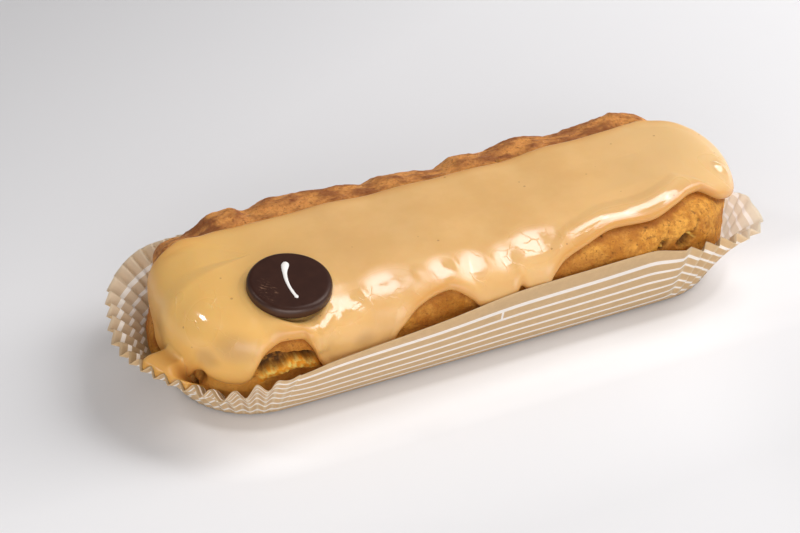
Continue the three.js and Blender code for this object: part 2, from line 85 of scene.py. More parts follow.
# How far the underside of the icing stands off the crust in the CAD piece.
GAP = 0.4
SPAN = SPINE_RIGHT - SPINE_LEFT
TURN = math.pi * HALF_WIDTH
ROUND = 2 * (SPAN + TURN)
print("once round the loaf, mm:", round(ROUND, 1))


# %% Names for places
def back(x):
    """The place at x along the back, where counting starts at the right."""
    return SPINE_RIGHT - x


def left_end(angle):
    """The place at an angle round the left end, from 90 at the back to 270 at the front."""
    return SPAN + math.radians(angle - 90) * HALF_WIDTH


def front(x):
    """The place at x along the front."""
    return SPAN + TURN + x - SPINE_LEFT


def right_end(angle):
    """The place at an angle round the right end, from 270 at the front to 450 at the back."""
    return 2 * SPAN + TURN + math.radians(angle - 270) * HALF_WIDTH


print("the left tip is at place", round(left_end(180), 1), "and the right tip at", round(right_end(360), 1))

# %% The side profile
turn = np.linspace(0, math.pi, 4001)
dome = turn < math.pi / 2
power = 2 / np.where(dome, DOME_ROUNDNESS, BELLY_ROUNDNESS)
rise = np.where(dome, CROWN_Z - WIDEST_Z, BELLY_Z - WIDEST_Z)
# From crown to sole: the share of the half width, the height, and the way down the skin.
SHARE = np.abs(np.sin(turn)) ** power
HEIGHT = np.maximum(SOLE_Z, WIDEST_Z + rise * np.abs(np.cos(turn)) ** power)
WAY = np.concatenate([[0], np.cumsum(np.hypot(np.diff(SHARE) * HALF_WIDTH, np.diff(HEIGHT)))])
SOLE_WAY = WAY[-1]
print("from crown to sole, mm:", round(SOLE_WAY, 1))


# %% A point on the loaf
def outlook(place):
    """The spine point that a place looks out from, the direction it looks in, and which end it is on."""
    p = np.mod(place, ROUND)
    at_left = (p >= SPAN) & (p < SPAN + TURN)
    at_right = p >= 2 * SPAN + TURN
    x = np.where(p < SPAN, SPINE_RIGHT - p, SPINE_LEFT + p - SPAN - TURN)
    x = np.where(at_left, SPINE_LEFT, np.where(at_right, SPINE_RIGHT, x))
    angle = np.where(p < SPAN, math.pi / 2, 1.5 * math.pi)
    angle = np.where(at_left, math.pi / 2 + (p - SPAN) / HALF_WIDTH, angle)
    angle = np.where(at_right, 1.5 * math.pi + (p - 2 * SPAN - TURN) / HALF_WIDTH, angle)
    return x, angle, at_left, at_right


def reach(angle, at_left, at_right):
    """How far the loaf reaches from its spine: half its width along the sides, half ovals at the ends."""
    along = np.where(at_left, LEFT_REACH, RIGHT_REACH)
    n = np.where(at_left, LEFT_ROUNDNESS, RIGHT_ROUNDNESS)
    x, y = np.abs(np.cos(angle)) / along, np.abs(np.sin(angle)) / HALF_WIDTH
    oval = (x**n + y**n) ** (-1 / n)
    return np.where(at_left | at_right, oval, HALF_WIDTH)


SLOPE_STEP = 0.4  # the slope of the skin is taken over this much way to each side


def on_loaf(place, way, lift=0.0):
    """Points on the loaf's skin, lifted off it along its normal."""
    place, way, lift = np.broadcast_arrays(place, way, lift)
    x, angle, at_left, at_right = outlook(place)
    r = reach(angle, at_left, at_right)
    share, z = np.interp(way, WAY, SHARE), np.interp(way, WAY, HEIGHT)
    run = (np.interp(way + SLOPE_STEP, WAY, SHARE) - np.interp(way - SLOPE_STEP, WAY, SHARE)) * r
    drop = np.interp(way + SLOPE_STEP, WAY, HEIGHT) - np.interp(way - SLOPE_STEP, WAY, HEIGHT)
    length = np.maximum(np.hypot(run, drop), 1e-9)
    crown = way <= 1e-6
    out = np.where(crown, 0, r * share - lift * drop / length)
    up = np.where(crown, lift, lift * run / length)
    return np.stack([x + np.cos(angle) * out, np.sin(angle) * out, z + up], -1)


WIDEST_WAY = np.interp(WIDEST_Z, HEIGHT[::-1], WAY[::-1])
tips = on_loaf(np.array([left_end(180), right_end(360)]), WIDEST_WAY)
print("loaf from tip to tip, mm:", tips[:, 0].round(1))

# %% [markdown]
# ## Smooth values round the loaf
#
# A drip line, the height of the torn crust and the lean of the paper all change as one walks round the
# eclair. Each is a short list of places and values read off the photo. An ordinary spline through them
# would overshoot between a long drip and a short one. A monotone cubic never swings past the values it is
# given, so a drip stays as long as it was measured.


# %% Monotone curves
def around(points):
    """A closed smooth curve through [place, value, ...] points, as a function of place."""
    table = np.array(sorted(points), float)
    wrapped = np.vstack([table[-2:], table, table[:2], table[2:3]])
    wrapped[:2, 0] -= ROUND
    wrapped[-3:, 0] += ROUND
    x, y = wrapped[:, 0], wrapped[:, 1:]
    secant = np.diff(y, axis=0) / np.diff(x)[:, None]
    both = secant[:-1] * secant[1:]
    mean = 2 * both / np.where(both > 0, secant[:-1] + secant[1:], 1)
    slope = np.zeros_like(y)
    slope[1:-1] = np.where(both > 0, mean, 0)

    def value(place):
        p = np.mod(place, ROUND)
        p = np.where(p < table[0, 0], p + ROUND, p)
        i = np.clip(np.searchsorted(x, p, side="right") - 1, 0, len(x) - 2)
        wide = x[i + 1] - x[i]
        t = ((p - x[i]) / wide)[..., None]
        bend = t * t * (3 - 2 * t)
        leave = (t - 2 * t**2 + t**3) * wide[..., None] * slope[i]
        arrive = (t**3 - t**2) * wide[..., None] * slope[i + 1]
        made = y[i] + (y[i + 1] - y[i]) * bend + leave + arrive
        return made[..., 0] if made.shape[-1] == 1 else made

    return value


halfway = around([[0, 0], [10, 1], [20, 0], [30, 0]])(np.array([5.0]))
print("halfway up a step of 1:", halfway.round(2))


# %% Soft steps, humps and noise
def hump(offset, half_width):
    """1 in the middle, and 0 from half_width out."""
    return (1 - np.minimum(np.abs(offset) / half_width, 1) ** 2) ** 2


def ease(value, low, high):
    """0 at low, 1 at high, an S curve between them, and flat outside. Low may be the larger of the two."""
    t = np.clip((value - low) / (high - low), 0, 1)
    return t * t * (3 - 2 * t)


def rough(points, size, octaves=3, seed=0.0):
    """Fractal noise at an array of points, about -1 to 1, with features of that size in mm."""
    scaled = points.reshape(-1, 3) / np.asarray(size, float) + seed
    made = [noise.fractal(Vector(p), 0.8, 2.1, octaves) for p in scaled.tolist()]
    return np.array(made).reshape(points.shape[:-1])


print("hump at half its half width:", hump(0.5, 1.0))

# %% [markdown]
# ## The crust
#
# Choux paste puffs up on steam and sets as a thin shell, so it has no flat spots. Where the shell split
# in the oven it left a ragged ridge, and that ridge shows here behind the icing. `ridge` is its height
# above the even loaf. The rest of the shell waves gently by a few tenths of a millimetre, as it does in
# the CAD piece. All of this is a lift along the skin's normal, so that everything that lies on the crust
# can be lifted by the same amount.

# %% The lift of the crust
ridge = around([
    [back(56), 1.9], [back(48), 1.0], [back(43.5), 0.1], [back(38), 0.1], [back(29), 1.6], [back(19), 0.3],
    [back(12), 1.1], [back(6), -1.0], [back(-2), 0.3], [back(-8), 0.7], [back(-13), -0.2], [back(-18), 0.6],
    [back(-27), 1.4], [back(-38), 2.1], [back(-44.5), 0.5], [back(-48), 2.4], [left_end(95), 1.8],
    [left_end(103), 0], [left_end(112), -1.4], [left_end(124), 0.4], [left_end(136), 1.2],
    [left_end(150), 0], [right_end(408), 0.6], [right_end(424), 2.2], [right_end(440), 2.3],
])
RIDGE_WAY, RIDGE_HALF_BAND = 22, 10
# Where the foot of the left end swells: place, half lengths before and after it, way, half band, rise.
FEET = [[left_end(177), 22, 7, 42, 9.5, 5.0], [left_end(232), 13, 14, 42, 7, 3.2]]


def crust(place, way):
    """Lift of the crust off the even loaf, close to that of the CAD piece."""
    p = on_loaf(place, way)
    x, y, z = p[..., 0], p[..., 1], p[..., 2]
    # Broad waves in the shell, calmer near the crown, and none where the ridge is.
    calm = 0.4 + 0.6 * np.minimum(way / 30, 1)
    uneven = 0.35 * np.sin(0.19 * x + 1.1) * np.sin(0.16 * y + 0.4) + 0.25 * np.sin(0.33 * x + 0.27 * z + 2)
    band = hump(way - RIDGE_WAY, RIDGE_HALF_BAND) * np.clip(y / 6, 0, 1)
    foot = 0.0
    for at, before, after, down, half, rise in FEET:
        foot = foot + rise * hump(place - at, np.where(place < at, before, after)) * hump(way - down, half)
    return np.where(z < SOLE_Z + 1, 0, uneven * calm * (1 - band) + ridge(place) * band + foot)


print("ridge height at x = 48 and x = 6, mm:", ridge(np.array([back(48), back(6)])).round(2))


# %% Turning a grid of points into a mesh
def grid_mesh(name, points, values=None, closed=True):
    """A mesh from a rows x columns grid in mm, its columns closed into a ring, and values as attributes."""
    rows, columns = points.shape[:2]
    across = columns if closed else columns - 1
    i, j = np.meshgrid(np.arange(rows - 1), np.arange(across), indexing="ij")
    k = (j + 1) % columns
    corners = np.stack([i * columns + j, (i + 1) * columns + j, (i + 1) * columns + k, i * columns + k], -1)
    mesh = bpy.data.meshes.new(name)
    mesh.from_pydata((points.reshape(-1, 3) / 1000).tolist(), [], corners.reshape(-1, 4).tolist())
    for label, amount in (values or {}).items():
        layer = mesh.attributes.new(label, "FLOAT", "POINT")
        spread = np.broadcast_to(amount, points.shape[:2])
        layer.data.foreach_set("value", np.ascontiguousarray(spread, np.float32).ravel())
    mesh.polygons.foreach_set("use_smooth", [True] * len(mesh.polygons))
    piece = bpy.data.objects.new(name, mesh)
    bpy.context.scene.collection.objects.link(piece)
    return piece


def stations(back_step, left_step, front_step, right_step):
    """Places round the loaf, at a spacing of its own for each side and end."""
    parts, start = [], 0.0
    for length, step in ((SPAN, back_step), (TURN, left_step), (SPAN, front_step), (TURN, right_step)):
        count = round(length / step)
        parts.append(start + length * np.arange(count) / count)
        start += length
    return np.concatenate(parts)


places = stations(0.55, 0.42, 0.36, 0.42)
print("stations round the loaf:", len(places))

# %% [markdown]
# ## The wall of the case
#
# The case is pressed from one flat sheet. Its wall rises from a floor with round ends and leans outward,
# near the rim more than at the foot. Round the ends there is too much paper for the rim, so it gathers
# into pleats that are shallow at the floor and deep at the rim. The long sides stay smooth. The back of
# the right end was spread flat again, and its pleats are hardly more than creases. Cloth simulation would
# give pleats of its own choosing. Here the wall is a formula, so that the pleats lie where they lie in
# the photo, and so that other pieces can be kept on the right side of it.

# %% The shape of the case's wall
FLOOR_HALF_WIDTH = 19.2
CASE_LEFT, CASE_RIGHT = -51.6, 51.9
# Each row: place, lean at the foot and at the rim in degrees, how late the lean comes, height up the slant.
wall_shape = around([
    [back(30), 34, 4, 1, 23.4], [back(-36), 34, 8, 1, 23.6], [left_end(102), 31, 24, 1.5, 23.8],
    [left_end(124), 28, 48, 1.5, 25.2], [left_end(145), 28, 60, 1.5, 24.2],
    [left_end(163), 28, 52, 1.5, 23], [left_end(180), 28, 57, 1.5, 23], [left_end(204), 28, 53, 1.5, 23],
    [left_end(222), 28, 55, 1.5, 23], [left_end(238), 28, 60, 1.5, 23], [left_end(250), 28, 50, 1.5, 23],
    [left_end(263), 30, 38, 1.5, 23],
    [front(-42), 38, 21, 1, 23], [front(-15), 37, 14, 1, 24.2], [front(8), 35, 6, 1, 24.9],
    [front(28), 34.4, 4, 1, 24.7], [front(42), 34, 2, 1, 24.1], [right_end(270), 28, 17, 1.5, 23.5],
    [right_end(284), 24, 26, 2, 23.5], [right_end(298), 24, 42, 2, 23.5], [right_end(316), 24, 60, 2, 23.5],
    [right_end(328), 24, 20, 2, 23.4], [right_end(336), 24, 12, 2, 21.6], [right_end(345), 24, 6, 2, 19.6],
    [right_end(365), 24, 6, 2, 19.4], [right_end(400), 26, 10, 2, 21.5], [right_end(440), 32, 5, 1.2, 23.5],
])
heights_shown = wall_shape(np.array([left_end(180), front(8), right_end(365)]))[:, 3]
print("up the wall at the left, front and right, mm:", heights_shown.round(1))

# %% The pleats
# How many pleats there are from the start of each end to an angle.
LEFT_COUNT = [[90, 0], [136, 8.5], [187, 14.5], [208, 17.5], [232.5, 21], [270, 25]]
RIGHT_COUNT = [[270, 0], [450, 20]]
# The pleats grow from the floor to the rim by this power of the height.
FOLD_GROWTH = 0.7
pleat_depth = around([
    [left_end(95), 0.8], [left_end(125), 1.15], [left_end(185), 1.25], [left_end(215), 1.0],
    [left_end(235), 1.2], [left_end(254), 1.1], [left_end(265), 0.2], [right_end(272), 1.0],
    [right_end(292), 1.3], [right_end(312), 1.1], [right_end(322), 0.4], [right_end(400), 0.4],
    [right_end(440), 0.9],
])


def pleat(place):
    """How far the pleats stand out at the rim, in mm: minus inside, plus outside, 0 on the smooth sides."""
    p = np.mod(place, ROUND)
    at_left, at_right = (p >= SPAN) & (p < SPAN + TURN), p >= 2 * SPAN + TURN
    left_angle = 90 + np.degrees((p - SPAN) / HALF_WIDTH)
    right_angle = 270 + np.degrees((p - 2 * SPAN - TURN) / HALF_WIDTH)
    left_along = np.interp(left_angle, *np.transpose(LEFT_COUNT))
    along = np.where(at_left, left_along, np.interp(right_angle, *np.transpose(RIGHT_COUNT)))
    zigzag = 1 - 4 * np.abs(along - np.floor(along) - 0.5)
    # The folds are a little rounded, and more so at the front left.
    soft = 0.2 + 0.3 * ease(left_angle, 215, 240) * at_left
    return np.where(at_left | at_right, pleat_depth(p) * zigzag * (1 + soft - soft * zigzag**2), 0)


print("pleats at the left end:", LEFT_COUNT[-1][1], "and at the right end:", RIGHT_COUNT[-1][1])

# %% Points on the wall
WALL_STEPS = 16


def wall(place, slant, out=0.0):
    """Points of the wall at a slant height from the floor fold, moved out along the wall's normal."""
    place, slant, out = np.broadcast_arrays(place, slant, out)
    x, angle, _, _ = outlook(place)
    foot, lip, curl, height = np.moveaxis(wall_shape(place), -1, 0)
    run, climb = FLOOR_HALF_WIDTH, 0.0
    for i in range(WALL_STEPS):
        lean = np.radians(foot + (lip - foot) * (slant * (i + 0.5) / WALL_STEPS / height) ** curl)
        run, climb = run + np.sin(lean) * slant / WALL_STEPS, climb + np.cos(lean) * slant / WALL_STEPS
    lean = np.radians(foot + (lip - foot) * (slant / height) ** curl)
    run, climb = run + out * np.cos(lean), climb - out * np.sin(lean)
    x = CASE_LEFT + (x - SPINE_LEFT) / SPAN * (CASE_RIGHT - CASE_LEFT)
    return np.stack([x + np.cos(angle) * run, np.sin(angle) * run, climb], -1)


rim = wall(places, wall_shape(places)[:, 3])
print("the rim spans, mm:", np.ptp(rim, axis=0).round(1))

# %% Nothing goes through the paper
NO_LIMIT = 99


def keep_inside(place, points, clear=0.35):
    """Points pushed in where they would go through the wall; place is one value for each column."""
    x, angle, _, _ = outlook(place)
    aim = np.stack([np.cos(angle), np.sin(angle)], -1)
    spine = np.stack([x, 0 * x], -1)
    share = np.linspace(0, 1, 25)[:, None]
    # The deepest pleat near each place counts, so that nothing pokes through the next fold.
    inward = np.max([np.abs(pleat(place + aside)) for aside in np.linspace(-1.5, 1.5, 9)], axis=0)
    lining = wall(place, share * wall_shape(place)[:, 3], -inward * share**FOLD_GROWTH - clear)
    room = ((lining[..., :2] - spine) * aim).sum(-1)
    out = ((points[..., :2] - spine) * aim).sum(-1)
    for column in range(len(place)):
        z = points[:, column, 2]
        # Above the rim there is no paper to stay inside of.
        limit = np.interp(z, lining[:, column, 2], room[:, column], right=NO_LIMIT)
        push = np.maximum(out[:, column] - limit, 0)
        points[:, column, :2] -= push[:, None] * aim[column]
    return points


far_out = on_loaf(places, np.full((1, len(places)), SOLE_WAY - 20.0), 9.0)
pushed = np.linalg.norm(keep_inside(places, far_out.copy()) - far_out, axis=-1)
print("a skin 9 mm too fat is pushed in by up to, mm:", pushed.max().round(1))

# %% [markdown]
# ## Tears and holes in the crust
#
# Steam burst through the shell in a few places. The largest is the tear under the first arch of the
# icing: a dark slit under a firm upper lip, with moist yellow crumb rising out of it below. Two blown
# bubbles lie low at the right, and pinholes run down to them. They could be cut with Booleans, but baked
# holes have no clean edge. Each is a dent in the skin with a steep wall and a ragged outline.

# %% Holes
# Each hole: place, way, half length, half height, turn in degrees, depth, all in mm but the turn.
HOLES = [
    [front(51.6), 29.3, 3.2, 1.9, -34, 2.4],
    [front(45.3), 29.2, 2.2, 1.1, -48, 1.5],
    [left_end(220.3), 36.8, 1.5, 1.9, 10, 2.6],
    [left_end(216.5), 40.0, 1.3, 1.6, 0, 2.0],
    [left_end(203.0), 40.0, 0.8, 0.6, 0, 0.7],
    [right_end(283), 24.3, 0.45, 0.5, 0, 0.5],
    [right_end(279), 25.5, 0.5, 0.9, 15, 0.7],
    [right_end(277), 26.4, 0.45, 0.6, 20, 0.5],
    [right_end(275), 27.2, 0.5, 0.8, 20, 0.6],
    [right_end(291), 24.5, 0.35, 0.35, 0, 0.4],
    [right_end(284), 28.3, 0.7, 0.4, -30, 0.4],
    [right_end(288), 29.4, 0.6, 0.4, 0, 0.4],
    [front(41.6), 23.4, 0.6, 0.5, 0, 0.5],
    [front(31.5), 27.4, 0.5, 0.5, 0, 0.5],
    [front(36.5), 25.6, 0.4, 0.35, 0, 0.35],
    [front(29.6), 22.9, 0.14, 1.7, 8, 0.5],
    [front(47.6), 24.4, 0.5, 0.4, 0, 0.35],
    [back(-45.6), 20.5, 0.8, 0.9, 0, 0.9],
    [back(-20), 19.5, 0.7, 0.5, 0, 0.5],
    [back(20.6), 14.6, 0.9, 0.8, 0, 1.2],
    [back(10), 18.5, 0.5, 0.8, 0, 0.6],
    [back(33), 20.0, 0.9, 0.5, 0, 0.6],
]
print("holes and pits:", len(HOLES))

# %% The tear
TEAR_DEPTH = 2.4
tear_top = around([
    [left_end(250.2), 31.6], [left_end(252.4), 30.0], [left_end(256.3), 29.0], [left_end(259.7), 28.8],
    [left_end(264), 29.6], [left_end(269.7), 30.2], [front(-48.7), 30.6], [front(-46.5), 31.6],
    [front(-45.5), 32.6], [front(-42), 34], [back(0), 33],
])
tear_foot = around([
    [left_end(251.9), 34.0], [left_end(255.8), 32.6], [left_end(260.8), 32.6], [left_end(266.4), 31.8],
    [front(-49.7), 32.0], [front(-47.7), 33.0], [front(-45.7), 33.4], [front(-42), 34], [back(0), 33],
])


def tear(place, way, ragged):
    """Masks of the dark slit and of the crumb below it."""
    top, foot = tear_top(place), tear_foot(place)
    wide = ease(place, left_end(249), left_end(252)) * (1 - ease(place, front(-46), front(-44.2)))
    torn = way + 0.7 * ragged
    under_lip = ease(way - top + 0.35 * ragged, -0.1, 0.5)
    slit = under_lip * (1 - ease(torn, foot - 0.5, foot + 0.6)) * wide
    crumb = ease(torn, foot - 0.5, foot + 0.4) * (1 - ease(way, foot + 1.8, foot + 3.4)) * wide
    return slit, crumb


print("the tear is", round(front(-45) - left_end(250), 1), "mm long")


# %% Dents
def dents(place, way, ragged):
    """How deep the crust is broken in at each point, with masks for the dark hollows and the bare crumb."""
    depth, dark, bare = np.zeros((3, *place.shape))
    for at, down, half_length, half_height, degrees, deep in HOLES:
        along, across = place - at, way - down
        c, s = math.cos(math.radians(degrees)), math.sin(math.radians(degrees))
        u, v = (along * c + across * s) / half_length, (across * c - along * s) / half_height
        inside = 1 - np.hypot(u, v) + 0.22 * ragged * min(1, half_length)
        # A deep hole has a steep wall and some bare crumb in it, and a pinhole is a soft dimple.
        fall = ease(inside, 0, 0.45 if deep > 1 else 0.8)
        depth = np.maximum(depth, deep * fall)
        dark = np.maximum(dark, fall * (min(1, 0.5 + deep / 3) if deep < 1.1 else 0.85))
        bare = np.maximum(bare, fall * ease(ragged, 0.25, 0.5) * (deep > 1.1))
    slit, crumb = tear(place, way, ragged)
    dark = np.maximum(dark, slit * (1 - 0.9 * crumb)) * (1 - 0.8 * bare)
    return np.maximum(depth, TEAR_DEPTH * slit * (1 - 0.8 * crumb)), dark, np.maximum(crumb, 0.8 * bare)


one_hole = dents(np.array([[HOLES[0][0]]]), np.array([[HOLES[0][1]]]), np.zeros((1, 1)))
print("the largest hole is", one_hole[0].max().round(1), "mm deep")

# %% [markdown]
# ## Where the icing ends
#
# The lower edge of the icing wanders: it runs on in drips, stops short over the torn crust, and at two
# places it reaches the paper. The table gives how far down the section it lies. The crust needs it too,
# because a darker line is painted just below it, as the shade under the icing's lip.

# %% The lower edge of the icing
icing_edge = around([
    [back(50), 13.4], [back(32), 12.9], [back(19), 12.1], [back(2), 11.9], [back(-14), 12.6],
    [back(-45), 12.8], [left_end(122), 14.8], [left_end(140), 19.8], [left_end(148), 24.4],
    [left_end(152), 27.6], [left_end(156), 30.4], [left_end(160), 32.4], [left_end(166), 34.2],
    [left_end(173), 35.2], [left_end(180), 36.4], [left_end(186), 37.6], [left_end(190), 39],
    [left_end(197), 44], [left_end(206), 44], [left_end(215), 37.4], [left_end(219), 34.9],
    [left_end(223), 34.2], [left_end(227), 35.4], [left_end(237), 36.2], [left_end(242), 36],
    [left_end(246.5), 34.6], [left_end(250.2), 30.8], [left_end(253), 28.6], [left_end(257.4), 27.3],
    [left_end(263), 26.4], [front(-49.5), 26.7], [front(-47.7), 28.3], [front(-46.2), 31],
    [front(-45), 34.2], [front(-41), 40], [front(-31), 40], [front(-25.4), 31], [front(-20), 27],
    [front(-12), 25.4], [front(-6.5), 28.6], [front(-4.5), 31], [front(-1), 33], [front(3.6), 32.5],
    [front(6.6), 28.8], [front(9), 31.6], [front(12.6), 31.4], [front(15), 28.2], [front(18), 26],
    [front(24), 24.2], [front(34), 22], [front(43), 22.4], [right_end(282), 19], [right_end(292), 19.7],
    [right_end(303), 25], [right_end(325), 28], [right_end(365), 26], [right_end(405), 19],
    [right_end(437), 14.6],
])
edge = icing_edge(places)
print("the icing runs down the side by, mm:", edge.min().round(1), "to", edge.max().round(1))

# %% Points and noise over the crust
ways = np.concatenate([
    np.arange(0, 10, 2.5), np.arange(10, 14, 0.8), np.arange(14, 44, 0.36), np.linspace(44, SOLE_WAY, 18),
])
way, place = np.meshgrid(ways, places, indexing="ij")
skin = on_loaf(place, way, crust(place, way))
ragged = rough(skin, 1.6, 3, seed=7.3)
crumbs = rough(skin, 0.9, 3, seed=5.1)
lumps = rough(skin, (6.5, 5.0, 4.0), 4, seed=2.1)
bands = rough(skin, (5.0, 3.0, 2.2), 3, seed=8.8)
clouds = rough(skin, (9, 6, 6), 3, seed=1.7)
print("points over the crust:", way.size)

# %% The relief of the crust
exposed = ease(way, 10, 14) * (1 - ease(way, 50, 62))
behind = ease(skin[..., 1], 2, 12) * ease(way, 12, 15)
depth, dark, crumb = dents(place, way, ragged)
# The bare shell is lumpy, and more so behind. The crumb swells up in the tear and is crumbly.
lift = crust(place, way) + exposed * (0.24 * lumps + 0.30 * behind * lumps + 0.05 * ragged)
lift = lift - depth + crumb * (0.6 * crumbs + 0.9) + 0.35 * crumbs * dark
dark = dark * (1 - 0.45 * ease(crumbs, 0.0, 0.4))
print("deepest dent", round(float(depth.max()), 1), "mm")

# %% How far each spot is baked
# Behind, the crust is toasted in blotches, deepest on the ridge, paler at the left and darker at the right.
upper = 0.32 + 0.63 * (1 - ease(way, 26, 34))
paler = 0.95 * hump(place - back(-49), 11) - 0.55 * hump(place - back(50), 14)
toasted = np.clip(behind * (0.50 - 0.5 * paler + upper * (lumps + bands)), 0, 1)
# In front it is browned in soft clouds, and under the arches of the icing it is painted evenly darker, as
# shade under the icing.
shade_under_arches = hump(place - front(22), 14)
shade_under_arches += 0.7 * hump(place - front(-16), 10) + 0.7 * hump(place - front(-51), 9)
browned_and_shaded = np.maximum(0.8 * ease(clouds, -0.1, 0.5), shade_under_arches * ease(way, 24, 28)) * (1 - behind)
# Low in the case the crust is painted a darker orange, as shade under the paper's wall. At the front left
# a strip is painted lighter, as painted light where the rim of the case shades it.
low = ease(way, 25, 36) * (1 - hump(place - left_end(235), 16))
painted_light_strip = hump(place - left_end(236), 16) * ease(way, 34, 37)
# Painted shade: a darker line just under the icing's lip.
painted_lip_shade = hump(way - edge - 0.5, 1.3) * (1 - 0.6 * behind)
print("share of the crust that is toasted:", toasted.mean().round(2))

# %% The mesh of the crust
choux = grid_mesh("choux_crust", keep_inside(places, on_loaf(place, way, lift)), {
    "dark": dark, "crumb": crumb, "lit_crumb_tips": ease(crumbs, -0.2, 0.5), "behind": behind, "toasted": toasted,
    "browned_and_shaded": browned_and_shaded, "low": low, "painted_light_strip": painted_light_strip, "painted_lip_shade": painted_lip_shade,
})
print("crust:", len(choux.data.vertices), "points")

# %% [markdown]
# ## The icing
#
# Coffee fondant is poured warm over the loaf and sets with a skin. It is thin on top, gathers into a
# rounded bead along its lower edge, and runs on in drips. A fluid simulation would be slow and drip where
# it liked. Here the section is a sheet of even thickness that swells near the edge and then turns under
# in a half ellipse, so that the edge throws the thin dark line seen in the photo. The photo's broken
# highlight comes from the shoulder: it is flatter in some places and still wet there.

# %% How thick the icing is
icing_thickness = around([
    [back(0), 1.1], [left_end(128), 1.3], [left_end(145), 0.95], [left_end(176), 0.95],
    [left_end(196), 1.7], [left_end(220), 1.7], [front(-35), 1.7], [front(-14), 1.6],
    [front(4), 0.9], [front(25), 1.6], [right_end(310), 1.9], [right_end(400), 1.5],
])
TOP_THICKNESS = 1.3
# How far the rounded lip reaches past the last full section.
LIP = 1.5
# The bead along the lower edge: place, rise, distance from the edge, half width.
bead = around([
    [left_end(130), 0.3, 1.9, 3.2], [left_end(150), 0.05, 1.9, 3.2], [left_end(180), 0.05, 1.9, 3.2],
    [left_end(200), 0.3, 1.9, 3.2], [front(-50), 0.34, 1.9, 3.2], [front(14), 0.34, 1.9, 3.2],
    [front(24), 0.6, 3.5, 3.7], [right_end(280), 0.55, 3.9, 3.7], [right_end(296), 0.34, 1.9, 3.2],
    [back(0), 0.34, 1.9, 3.2],
])
print("icing along the front, mm:", icing_thickness(np.array([front(-35), front(4), front(25)])).round(1))

# %% Where the chocolate sits
DISC_RADIUS, DISC_THICKNESS, DISC_EDGE = 9.85, 3.0, 1.2
DISC_X, DISC_Y = -47.6, -15.1
# How far its foot stands over the loaf, and how far its face leans to the front and to the right.
DISC_SEAT = 1.1
LEAN_FRONT, LEAN_RIGHT = math.radians(8), math.radians(1.5)
disc_up = np.array([math.sin(LEAN_RIGHT), -math.sin(LEAN_FRONT), math.cos(LEAN_FRONT)])
disc_up /= np.linalg.norm(disc_up)
seat = on_loaf(np.array(front(DISC_X)), -DISC_Y, 0.0) + disc_up * DISC_SEAT
print("the chocolate sits at, mm:", seat.round(1))

# %% Swells on the shoulder
# Where the shoulder lies flatter (below 0) or sharper: place, way, half length, half height, rise in mm.
SWELLS = [
    [front(-43.6), 22.6, 6.5, 4.8, -0.15], [front(-37.5), 21.8, 6.0, 4.8, -0.4],
    [front(-45), 27.6, 8.0, 4.8, 0.75], [front(-37.0), 26.8, 6.0, 4.4, 0.4],
    [front(-48.5), 25.0, 6.5, 2.4, 0.5], [front(-32.0), 21.8, 1.6, 3.0, 0.16],
    [front(-25.6), 20.6, 8.2, 5.5, -0.62], [front(-17.4), 20.6, 2.4, 3.0, 0.22],
    [front(-11.9), 21.0, 4.2, 4.5, -0.42], [front(-8.3), 21.0, 1.2, 3.0, 0.14],
    [front(-4.6), 21.4, 4.6, 5.0, -0.48], [front(0.2), 21.2, 1.4, 3.0, 0.16],
    [front(5.0), 21.7, 4.8, 5.0, -0.45], [front(12.6), 20.3, 7.4, 6.5, -0.66],
    [front(20.3), 20.2, 2.2, 3.0, 0.22], [left_end(216), 24, 7, 8, 0.3], [left_end(245), 27, 9, 8, 0.3],
    [right_end(327.5), 22.4, 2.8, 2.8, 0.75], [front(-35.5), 24.8, 3.6, 2.6, 0.25],
]


def gathered(place, way):
    """Lift of the swells."""
    lift = 0.0
    for at, down, half_length, half_height, rise in SWELLS:
        lift = lift + rise * hump(np.hypot((place - at) / half_length, (way - down) / half_height), 1)
    return lift


print("swells:", len(SWELLS))

# %% Wet, wrinkled and thin spots
# Each row of these: place, way, half length, half height. First, where the skin has not dried.
WET = [
    [front(-43.8), 24.4, 3.6, 1.7], [front(-38.4), 23.3, 5.4, 2.4], [front(-34.2), 22.6, 3.4, 2.0],
    [front(-25.8), 20.6, 5.4, 2.7], [front(-11.9), 21.0, 2.9, 2.4], [front(-4.6), 21.4, 3.3, 3.0],
    [front(4.8), 21.7, 3.4, 2.5], [front(12.3), 20.4, 5.6, 3.8],
]
# Single glints.
GLINTS = [
    [left_end(220), 23.2, 3.2, 3.2], [right_end(327.5), 22.4, 4.0, 4.0], [left_end(195), 22.6, 1.2, 0.8],
]
# Where the drying skin wrinkled.
WRINKLED = [
    [front(-30), 24.6, 9, 3.6], [left_end(213), 21.0, 15, 5.5], [front(9), 20.8, 12, 5.0],
    [front(-8), 24.2, 8, 2.4], [front(-40), 27.0, 9, 4.0], [left_end(236), 27, 8, 5],
]
# Thin spots where the crust shows through darker.
SUNK = [[left_end(240.3), 27, 4.2, 2.4], [front(-34.4), 30.5, 2.4, 1.8], [left_end(226), 30, 2.5, 2]]


def spots(table, place, way, soft):
    """A mask of oval spots: 1 inside, with an edge that is soft over a share of the spot."""
    mask = np.zeros(np.broadcast(place, way).shape)
    for at, down, half_length, half_height in table:
        off = np.hypot((place - at) / half_length, (way - down) / half_height)
        mask = np.maximum(mask, 1 - ease(off, 1 - soft, 1 + soft))
    return mask


print("wet patches and glints:", len(WET) + len(GLINTS))

# %% The icing's surface
# How steeply the icing falls away beside the chocolate, and over what width.
FILLET_SLOPE, FILLET_WIDTH = 0.35, 3.2


def by_chocolate(flat):
    """Distance from the chocolate's axis, and height over the plane of its foot."""
    return np.linalg.norm(np.cross(flat - seat, disc_up), axis=-1), (flat - seat) @ disc_up


